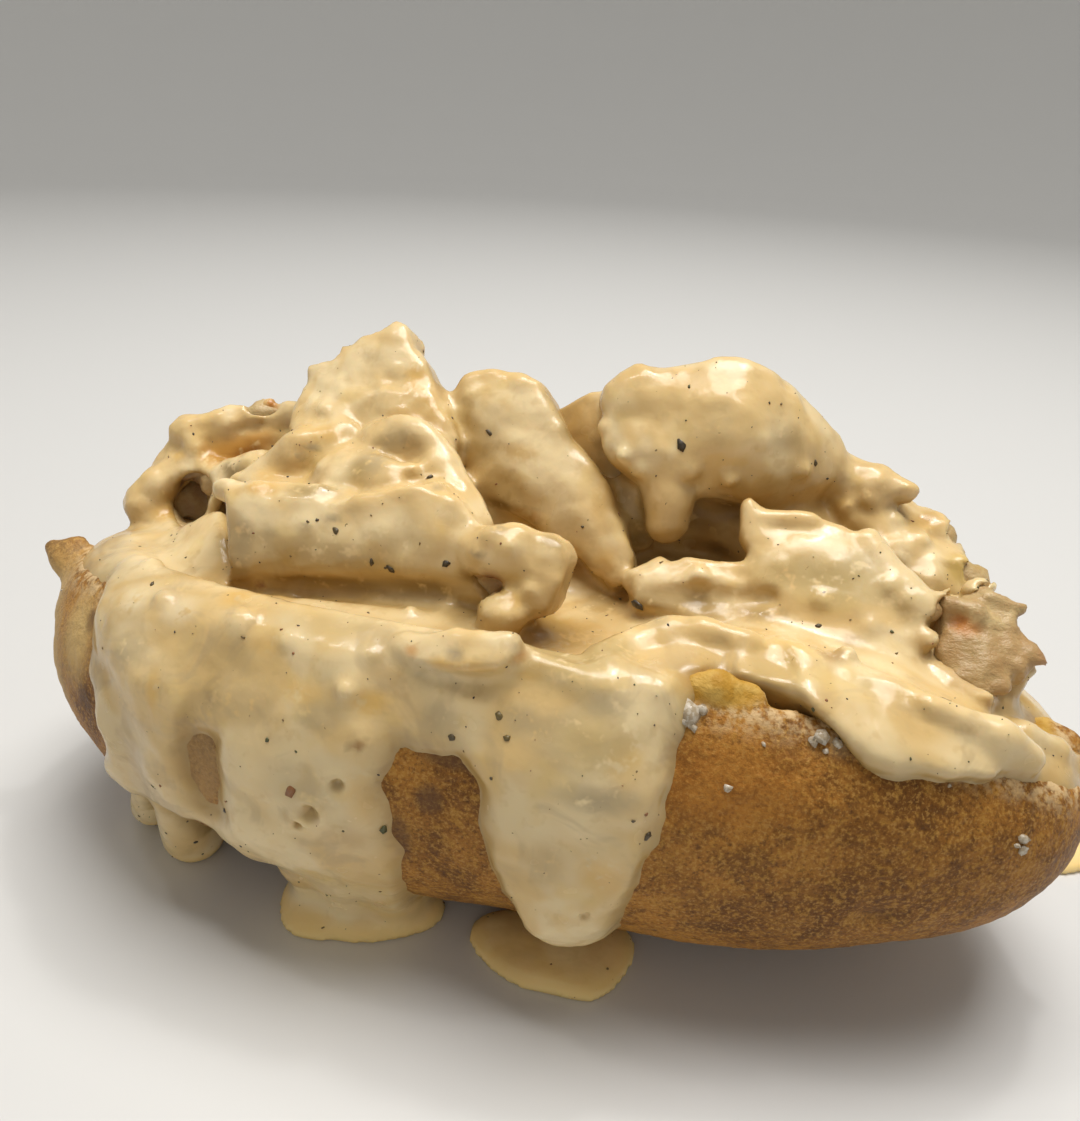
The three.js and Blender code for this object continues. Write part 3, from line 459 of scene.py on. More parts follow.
SAUCE_FORMS = [
    ("hull", ((-63.2, 2, 35.4), (-45.4, -7, 48.3), (-43.2, -11, 47.4), (-37.2, -19, 41.6), (-46.5, -18, 39.4), (-59.7, -11, 35.3), (-63.2, -3, 34.4), (-60.9, 2, 35.2), (-60, -4, 38), (-40,
     -6, 42), (-42, -18, 40)), 1.6, 3),
    ("cone", (-7.6, 4, 42.5, 3.6, 6.2, -4, 37.5, 3.6), 3),
    ("hull", ((11.9, -26, 44.5), (17.5, -20.6, 45.6), (14.8, -30, 44.2), (19.8, -26.5, 45.4), (11.9, -22, 39.5), (17.5, -16.6, 40.6), (14.8, -26, 39.2), (19.8, -22.5, 40.4)), 1.2, 2.5),
    ("hull", ((17.5, -20.6, 45.6), (25.1, -21.2, 46.3), (19.8, -26.5, 45.4), (25.8, -26.8, 45.3), (17.5, -16.6, 40.6), (25.1, -17.2, 41.3), (19.8, -22.5, 40.4), (25.8, -22.8, 40.3)), 1.2,
     2.5),
    ("hull", ((25.1, -21.2, 46.3), (31.7, -22.2, 46.2), (25.8, -26.8, 45.3), (33.2, -28.8, 44.3), (25.1, -17.2, 41.3), (31.7, -18.2, 41.2), (25.8, -22.8, 40.3), (33.2, -24.8, 39.3)), 1.2,
     2.5),
    ("hull", ((31.7, -22.2, 46.2), (42.6, -24, 44.1), (33.2, -28.8, 44.3), (40.9, -30.6, 40.4), (31.7, -18.2, 41.2), (42.6, -20, 39.1), (33.2, -24.8, 39.3), (40.9, -26.6, 35.4)), 1.2, 2.5),
    ("hull", ((42.6, -24, 44.1), (53.3, -25.5, 41.2), (40.9, -30.6, 40.4), (51.8, -28, 39.2), (42.6, -20, 39.1), (53.3, -21.5, 36.2), (40.9, -26.6, 35.4), (51.8, -24, 34.2)), 1.2, 2.5),
    ("hull", ((28.8, -13.5, 45.4), (39.5, -14.3, 43.7), (47.1, -14.5, 42.8), (50.4, -17, 41.1), (53.8, -24, 40.8), (42.6, -24, 44.3), (31.7, -22.2, 46.3), (26.4, -21.2, 46.4), (42.2, -12,
     43.3), (49.1, -14, 41.7), (20, -16, 38), (50, -16, 36)), 2, 3.5),
    ("cone", (10.7, -27, 44.4, 0.8, 12.2, -24, 44.2, 1), 2.6),
    ("cone", (12.2, -24, 44.2, 1, 14.6, -22, 44.7, 1.1), 2.6),
    ("cone", (14.6, -22, 44.7, 0.9, 17.5, -21, 45.8, 0.9), 2.6),
    ("cone", (17.5, -21, 45.8, 0.9, 21, -21.4, 46.8, 0.8), 2.6),
    ("cone", (21, -21.4, 46.8, 0.8, 25.6, -22, 46.5, 0.5), 2.6),
    ("cone", (45.4, -26, 44.1, 0.6, 53.1, -26, 41.5, 1), 2.6),
    ("cone", (53.1, -26, 41.5, 1.1, 57.3, -25, 39, 1.2), 2.6),
    ("cone", (10.7, -27, 44.4, 1.2, 11.8, -30.5, 44.8, 1.2), 2.6),
    ("cone", (11.8, -30.5, 44.8, 1.2, 17, -31.5, 44.5, 1.1), 2.6),
    ("cone", (-12.2, -29.4, 42.1, 1, 0.8, -30.4, 44.9, 1), 2.6),
    ("cone", (0.7, -31, 45.9, 1, 11.9, -33, 44.6, 1), 2.6),
    ("cone", (-50.8, 9.3, 53, 0.9, -51.2, 9.8, 55, 0.5), 0.8),
    ("cone", (-46.8, 11, 55.4, 0.9, -45.6, 11.2, 56.4, 1), 0.8),
    ("cone", (-43.7, 11, 56.1, 0.7, -43.3, 11, 56.3, 0.7), 0.8),
    ("cone", (-41.4, 11, 55.9, 0.7, -40.9, 11, 55.9, 0.7), 0.8),
    ("cone", (-62.6, 2, 35, 1.2, -63.7, 2, 35.5, 1), 1),
    ("cone", (-62.2, 0, 34.1, 1.2, -63.1, 0, 34.7, 0.9), 1),
]
BUMPS = [
    (-46.4, 40, 6, 5, 1.2), (-50.6, 33.8, 5, 2.2, -0.9), (-31.6, 43.7, 5, 3.4, 1.1), (-29, 41.3, 5, 2.6, -0.8), (-52.7, 24.3, 4, 5, 0.8), (-58.3, 12.3, 4, 4, 1.4), (-37.1, 33.3, 5, 5, 0.5),
    (-19.1, 43.3, 6, 2.6, 0.8), (-11.3, 41.2, 5, 4, -0.5), (-22.4, 33.1, 8, 8, 0.6), (-31.1, 20, 5, 5, 0.8), (-20.3, 18.4, 7, 5, 0.7), (11.7, 38.4, 6, 8, 1), (8.2, 14.4, 5.5, 6, 1.9), (-5.9,
    42.6, 6, 3, 0.5), (1.3, 43.5, 4, 5, 0.5), (-46.2, 22, 2.2, 7, -0.8), (-16.5, 38.9, 3, 3, 0.6), (-41.2, 35.7, 4, 4, 0.6), (15.2, 45.3, 3.4, 4, 0.9), (3.4, 36.9, 3, 6, 0.5), (10.9, 28, 5,
    4, -0.4), (-24.1, 38.3, 4, 3, 0.5), (-34.8, 26.3, 2, 6, 0.6), (40.2, 42, 9, 3, 0.6), (51.3, 39.7, 5, 3, 0.7)]
BARE = [
    ((-45.8, 11, 56.5), (3.2, 3, 1.6), 1),
    ((-57.7, 8, 40.7), (5, 4, 4), 1),
    ((57.3, -11, 48.4), (3.4, 5, 3.2), 0.9),
    ((59.4, -14.5, 45.2), (2.6, 4, 2.6), 0.9),
    ((55.3, -9, 48.5), (3, 4, 2), 0.7),
    ((50.8, -11.5, 48.2), (3, 3.5, 2), 0.9),
    ((56.2, -17, 42.7), (2.4, 3, 1.8), 0.6),
    ((55.7, 5, 45.7), (2.6, 3, 2.6), 0.9),
    ((52.2, 10, 49), (2.4, 2.4, 1.6), 0.4),
    ((-4.2, -17, 47), (2.8, 3.4, 1.6), 1),
    ((53.3, -14, 45.2), (6.4, 5, 4.6), 0.85),
    ((50.8, -12, 44.7), (3.6, 4, 3.4), 0.75),
    ((55.8, -15.5, 43.8), (4, 4, 3.4), 0.85),
]
# chunk tables end
NA, NB, NC = gnoise(8.0, 21), gnoise(3.4, 22), gnoise(1.7, 23)
ROUGH = {"chicken_k": 0.6, "chicken_l": 1.35, "chicken_b": 1.25, "chicken_c": 1.2, "chicken_a": 1.1, "chicken_j": 1.3, "chicken_n": 0.8, "chicken_i": 0.9, "chicken_f": 0.8}
bare = np.zeros(tuple(N), F32)
for c, r, w in BARE:
    sl = sub(np.array(c) - np.array(r) * 1.3 - 1, np.array(c) + np.array(r) * 1.3 + 1)
    q = ((X[sl[0]] - c[0]) / r[0]) ** 2 + ((Y[:, sl[1]] - c[1]) / r[1]) ** 2 + ((Z[:, :, sl[2]] - c[2]) / r[2]) ** 2
    bare[sl] = np.maximum(bare[sl], w * sstep(1.25, 0.55, q + 0.5 * NB[sl]))


def build(items, f=None, inset=0.45):
    f = full() if f is None else f
    for t in items:
        if t[0] == "prism":
            add_prism(f, *t[1:], inset=inset)
        elif t[0] == "cone":
            add_cone(f, t[1], t[2], grow=-0.6 * inset)
        elif t[0] == "hull":
            add_hull(f, t[1], t[2], t[3], grow=-0.6 * inset)
        elif t[0] == "groove":
            c = t[1]; m = max(c[3], c[7]) + 4 + t[2]
            sl = sub(np.minimum(c[0:3], c[4:7]) - m, np.maximum(c[0:3], c[4:7]) + m)
            f[sl] = smax(f[sl], -cone_f(X[sl[0]], Y[:, sl[1]], Z[:, :, sl[2]], c[0:3], c[3], c[4:7], c[7]), t[2])
        else:
            add_ell(f, t[1], t[2], t[3], t[4], cut=True)
    return f


MEAT = full(); COAT = full(); chunks = {}
HOLLOW = ((-49.2, -5.0, 48.8, 1.9, -54.9, 4.0, 44.6, 2.2), (-50.5, -5.0, 46.0, 2.0, -56.3, 4.0, 41.5, 2.2), (-51.9, -4.0, 43.5, 1.3, -55.8, 2.0, 40.4, 1.3))
for name, items in CH.items():
    f = build(items)
    if name == "chicken_c":
        for c in HOLLOW:
            m = 8; sl = sub(np.minimum(c[0:3], c[4:7]) - m, np.maximum(c[0:3], c[4:7]) + m)
            f[sl] = smax(f[sl], -cone_f(X[sl[0]], Y[:, sl[1]], Z[:, :, sl[2]], c[0:3], c[3] - 0.4, c[4:7], c[7] - 0.4), 1.0)
    w = ROUGH.get(name, 1.0)
    f = f + w * (0.40 * NA + 0.30 * NB) + (0.22 * w if w > 1 else 0.10) * NC
    chunks[name] = f
    MEAT = np.minimum(MEAT, f)
    COAT = smin(COAT, f - (0.55 - 1.9 * bare), 1.3)
log("chicken fields")

# ------------------------------------------------------------------ sauce
FRONT_EDGE = [(-53.5, 60), (-54.0, 50), (-53.6, 43), (-53.3, 38.4), (-52.6, 33.5), (-51.4, 29), (-50.6, 24.6), (-51.8, 20.4), (-52.8, 17.6), (-51.2, 15.6), (-48.7, 14.9), (-45.6, 16.4), (-42.9, 17.0), (-39.6, 17.4),
              (-35.8, 16.6), (-33.0, 15.6), (-31.6, 11.8), (-28.8, 10.6), (-27.2, 4), (-26.8, -4), (-12, -4), (-11.2, 4), (-10.9, 12), (-10.5, 19.5), (-9.9, 21.8), (-11.5, 24.5), (-12.4, 28.5), (-12.8, 31.0), (-11.7, 33.0),
              (-11.0, 35.2), (-10.0, 36.1), (-7.9, 36.0), (-5.6, 36.0), (-4.0, 36.5), (-2.8, 36.0), (-1.2, 34.3), (-0.2, 32.3), (0.6, 27.4), (1.9, 21.7), (4.1, 15.2), (5.6, 10), (7.4, 5.6), (9.8, 4.0), (12.2, 4.8), (13.8, 8),
              (14.8, 13), (15.7, 19.0), (16.8, 25.2), (17.9, 30.5), (18.4, 35.0), (18.7, 38.5), (19.1, 40.8), (19.8, 43.2), (21.5, 46), (24, 60)]
RIGHT_EDGE = [(33.0, 60), (33.2, 45), (34.2, 43.0), (35.9, 41.6), (37.3, 40.4), (39.5, 39.5), (42.8, 38.8), (45.4, 38.5), (49.3, 38.1), (52.7, 38.1), (55.1, 37.5), (57.0, 37.5), (58.6, 38.2), (59.4, 39.6),
              (60.0, 42), (60.4, 60)]
BACK_EDGE = [(-52, 60), (-49, 42), (-46, 33), (-40, 30), (-36, 24), (-32, 16), (-28, 14), (-24, 20), (-20, 29), (-10, 33), (-2, 30), (4, 20), (8, 12), (12, 8), (16, 12), (19, 22), (24, 31), (32, 32), (40, 28),
             (44, 17), (47, 9), (49, -4), (56, -4), (57.5, 10), (59, 26), (62, 36), (64, 60)]
x2, z2 = np.broadcast_arrays(X[:, 0, :], Z[0, :, :])
mf = np.minimum(poly_sd(x2, z2, spline(FRONT_EDGE)), poly_sd(x2, z2, spline(RIGHT_EDGE)))
win = (np.sqrt(((x2 + 34.6) / 3.1) ** 2 + ((z2 - 27.0) / 7.0) ** 2) - 1) * 3.0
mf = smax(mf, -win.astype(F32), 1.2)
mb = poly_sd(x2, z2, spline(BACK_EDGE))
MASK = np.where(YY < 0, mf[:, None, :], mb[:, None, :]).astype(F32) + 0.8 * gnoise(7, 31) + 0.5 * gnoise(3.0, 32)
TK = 1.45 + 0.55 * gnoise(11, 33) + 0.4 * gnoise(5, 34) + 0.15 * gnoise(2.4, 35)
front = (YY < 0)
for cx, cz, rx, rz, h in BUMPS:
    TK = TK + h * np.exp(-((X - cx) / rx) ** 2 - ((Z - cz) / rz) ** 2) * front
BLANKET = smax(smax(smax(HULL - TK, MASK, 2.4), Z - (RIM + 0.9), 2.0), -(HULL + 1.8), 1.5)
BASIN = sstep(0.985, 0.87, RIN ** (1 / 2.2)).astype(F32) * sstep(5, -8, Y) * (0.35 + 0.65 * sstep(34, 10, X)) * (2.3 + 2.4 * np.exp(-((X - 6) / 9) ** 2)).astype(F32)
POOLZ = RIM + 0.9 - BASIN + 0.25 * gnoise(14, 41) + 0.12 * gnoise(5, 42)
NOTCH = (np.sqrt(((X - 30.0) / 9.5) ** 2 + ((Y + 33.0) / 6.6) ** 2) - 1) * 6.0
POOL = smax(smax(HULL + 0.3, Z - POOLZ, 1.5), -NOTCH.astype(F32), 1.2)
SAUCE = smin(POOL, BLANKET, 2.0)
# soft mounds under the heap, and ridges in the pool
for c in ((-44, 6, 42, 5, -26, 6, 47, 7), (-26, 6, 47, 7, -10, 6, 46, 6.0), (-10, 6, 45, 6.0, 10, 11, 45, 6.0), (10, 13, 48, 6, 30, 12, 47, 6.5), (30, 8, 46, 6, 50, 6, 39.6, 4.6),
          (-44, 16, 40, 5, 44, 16, 39, 5), (-32, 13, 47.5, 5.5, -8, 15, 49, 6), (-8, 15, 49, 6, 12, 17, 50, 6), (34, 15, 46, 5, 46, 13, 43, 4.4), (-24, 20, 43, 5, 26, 21, 43, 5.4)):
    add_cone(SAUCE, c, 4.0)
for c in ((-46, -25, 40.4, 2.0, -36, -28, 41.4, 1.8), (40, -12, 41, 4, 54, -12, 38, 4), (-54, -14, 37.5, 3, -42, -12, 40.2, 3.0)):
    add_cone(SAUCE, c, 3.5)
build(SAUCE_FORMS, SAUCE, 0.0)
SAUCE = smin(SAUCE, COAT + 0.15 * gnoise(6, 51), 1.8)
# the crease under the front block, and the dark hollow at the left end
for c in ((-37.4, -18.8, 42.1, 0.8, -28.8, -18.6, 42.9, 1.4), (-28.8, -18.6, 42.9, 1.4, -11.9, -18.6, 44.9, 1.6), (-11.9, -18.6, 44.9, 1.6, -5.7, -18.6, 46.7, 1.0)):
    m = max(c[3], c[7]) + 4
    sl = sub(np.minimum(c[0:3], c[4:7]) - m, np.maximum(c[0:3], c[4:7]) + m)
    SAUCE[sl] = smax(SAUCE[sl], -cone_f(X[sl[0]], Y[:, sl[1]], Z[:, :, sl[2]], c[0:3], c[3], c[4:7], c[7]), 1.0)
for c in ((-49.2, -5.0, 48.8, 1.9, -54.9, 4.0, 44.6, 2.2), (-50.5, -5.0, 46.0, 2.0, -56.3, 4.0, 41.5, 2.2), (-51.9, -4.0, 43.5, 1.3, -55.8, 2.0, 40.4, 1.3)):
    m = max(c[3], c[7]) + 4
    sl = sub(np.minimum(c[0:3], c[4:7]) - m, np.maximum(c[0:3], c[4:7]) + m)
    SAUCE[sl] = smax(SAUCE[sl], -cone_f(X[sl[0]], Y[:, sl[1]], Z[:, :, sl[2]], c[0:3], c[3], c[4:7], c[7]), 1.2)
# small lumps: centre, radius
LUMPS = [
    (-30.9, -29.6, 44.2, 1.8), (-34.7, -17.1, 42.3, 0.9), (-25.7, -14.5, 51.7, 1.1), (-28.4, -15.8, 51.0, 0.8), (-13.3, -11.0, 55.5, 1.1), (-4.5, -17.7, 53.2, 1.3),
    (-2.5, -18.8, 52.8, 1.1), (-5.9, -17.9, 51.1, 1.2), (-13.7, -20.8, 43.5, 0.7), (5.3, 3.1, 61.0, 1.0), (6.5, 2.0, 59.3, 1.0), (8.5, -0.1, 58.6, 1.0), (10.8, -0.0,
    56.9, 1.1), (40.2, -13.6, 45.5, 1.3), (44.1, -11.1, 48.6, 1.1), (37.0, -20.5, 45.5, 1.2), (46.9, -14.1, 45.5, 1.3), (42.0, -10.2, 49.8, 1.0), (-13.8, 6.9, 62.2, 0.9),
    (-7.0, 7.6, 64.4, 1.0), (-1.2, 4.3, 59.6, 1.0), (-2.5, 0.9, 54.9, 0.9), (17.0, -32.1, 45.0, 0.9), (-48.9, -18.5, 43.4, 1.1), (-42.3, -26.7, 43.8, 1.2), (-16.5, -35.3,
    41.1, 0.9), (0.2, -33.3, 42.8, 0.8), (-24.5, -31.1, 43.7, 1.1), (-14.7, -32.1, 44.0, 1.0), (34.4, -12.1, 47.7, 1.2), (29.4, -8.9, 50.0, 1.1), (20.0, -10.0, 47.9,
    0.9), (-33.4, 3.0, 59.3, 0.9), (-28.8, 0.2, 57.8, 1.0), (-34.8, -2.6, 56.6, 1.2), (-17.7, -8.0, 56.4, 1.0), (-36.2, -15.7, 50.3, 0.9), (17.1, -0.1, 57.7, 1.2), (25.4,
    2.2, 61.9, 1.2), (31.2, 4.5, 57.7, 1.3), (22.3, -0.2, 57.0, 1.0), (48.2, 5.4, 49.5, 1.3), (45.0, 7.4, 51.1, 1.2), (41.3, 7.6, 53.5, 1.2), (1.8, -17.8, 51.8, 0.9),
    (0.6, -20.1, 48.1, 0.9)]
for x, y, z, r in LUMPS:
    add_ell(SAUCE, (x, y, z), (r, r, r * 0.9), 1.1)
# puddles and thick drips
for (cx, cy), rx, ry, rot, hgt in (((-20, -27.2), 11.4, 7.0, 0.1, 1.9), ((8, -28.5), 11.2, 7.4, 0.05, 1.9), ((74, 24), 18.5, 22.5, 0.15, 1.8)):
    sl = sub((cx - rx - 5, cy - ry - 5, -3), (cx + rx + 5, cy + ry + 5, 8))
    qx, qy = X[sl[0]] - cx, Y[:, sl[1]] - cy
    qx, qy = math.cos(rot) * qx + math.sin(rot) * qy, -math.sin(rot) * qx + math.cos(rot) * qy
    ang = np.arctan2(qy, qx); m = min(rx, ry)
    d = (np.sqrt((qx / rx) ** 2 + (qy / ry) ** 2) - 1) * m + 0.45 * np.sin(3 * ang + cx) + 0.3 * np.sin(5 * ang + cy)
    top = hgt + 0.6 * sstep(0, -m, d) + 0.12 * NA[sl]
    SAUCE[sl] = smin(SAUCE[sl], smax(d.astype(F32), (Z[:, :, sl[2]] - top).astype(F32), 2.6), 1.5)
for c in ((-50.6, -24.6, 14, 1.6, -54.4, -18.4, 3.2, 3.2), (-45, -28.4, 14.5, 1.9, -45.8, -22.4, 3.4, 4.4), (49, 17, 15, 3, 58, 19, 1.5, 4.5), (-26, -30, 9, 2.2, -25, -26, 1.5, 3.4), (-20, -31.5, 10, 2.6, -19, -26.5, 1.5, 4.0), (-14, -31, 10, 2.2, -13.5, -26, 1.5, 3.6)):
    add_cone(SAUCE, c, 1.8 if c[0] < -40 else 3.0)
for c, r in (((-19.9, -38.9, 26.4), 1.1), ((-16.6, -38.7, 30.8), 0.9), ((-21.6, -38.4, 24.2), 0.6), ((12, -38.8, 19), 0.6)):
    sl = sub(np.array(c) - 5, np.array(c) + 5)
    q = np.sqrt((X[sl[0]] - c[0]) ** 2 + (Z[:, :, sl[2]] - c[2]) ** 2)
    SAUCE[sl] += (-0.35 * np.exp(-((q - r * 1.5) / 0.55) ** 2) + 1.1 * np.exp(-(q / (r * 0.8)) ** 2)).astype(F32) * sstep(-30, -34, Y[:, sl[1]]) * (np.abs(SAUCE[sl]) < 2.5)
for c in ((58.0, -19.5, 38.2, 1.4, 62.4, -18.5, 35.8, 1.1), (62.4, -18.5, 35.8, 1.1, 66.0, -16.6, 32.6, 0.9), (66.0, -16.6, 32.6, 0.9, 66.4, -17.6, 29.0, 0.6)):
    add_cone(SAUCE, c, 1.6)
SAUCE = np.maximum(SAUCE, -Z)
log("sauce field")


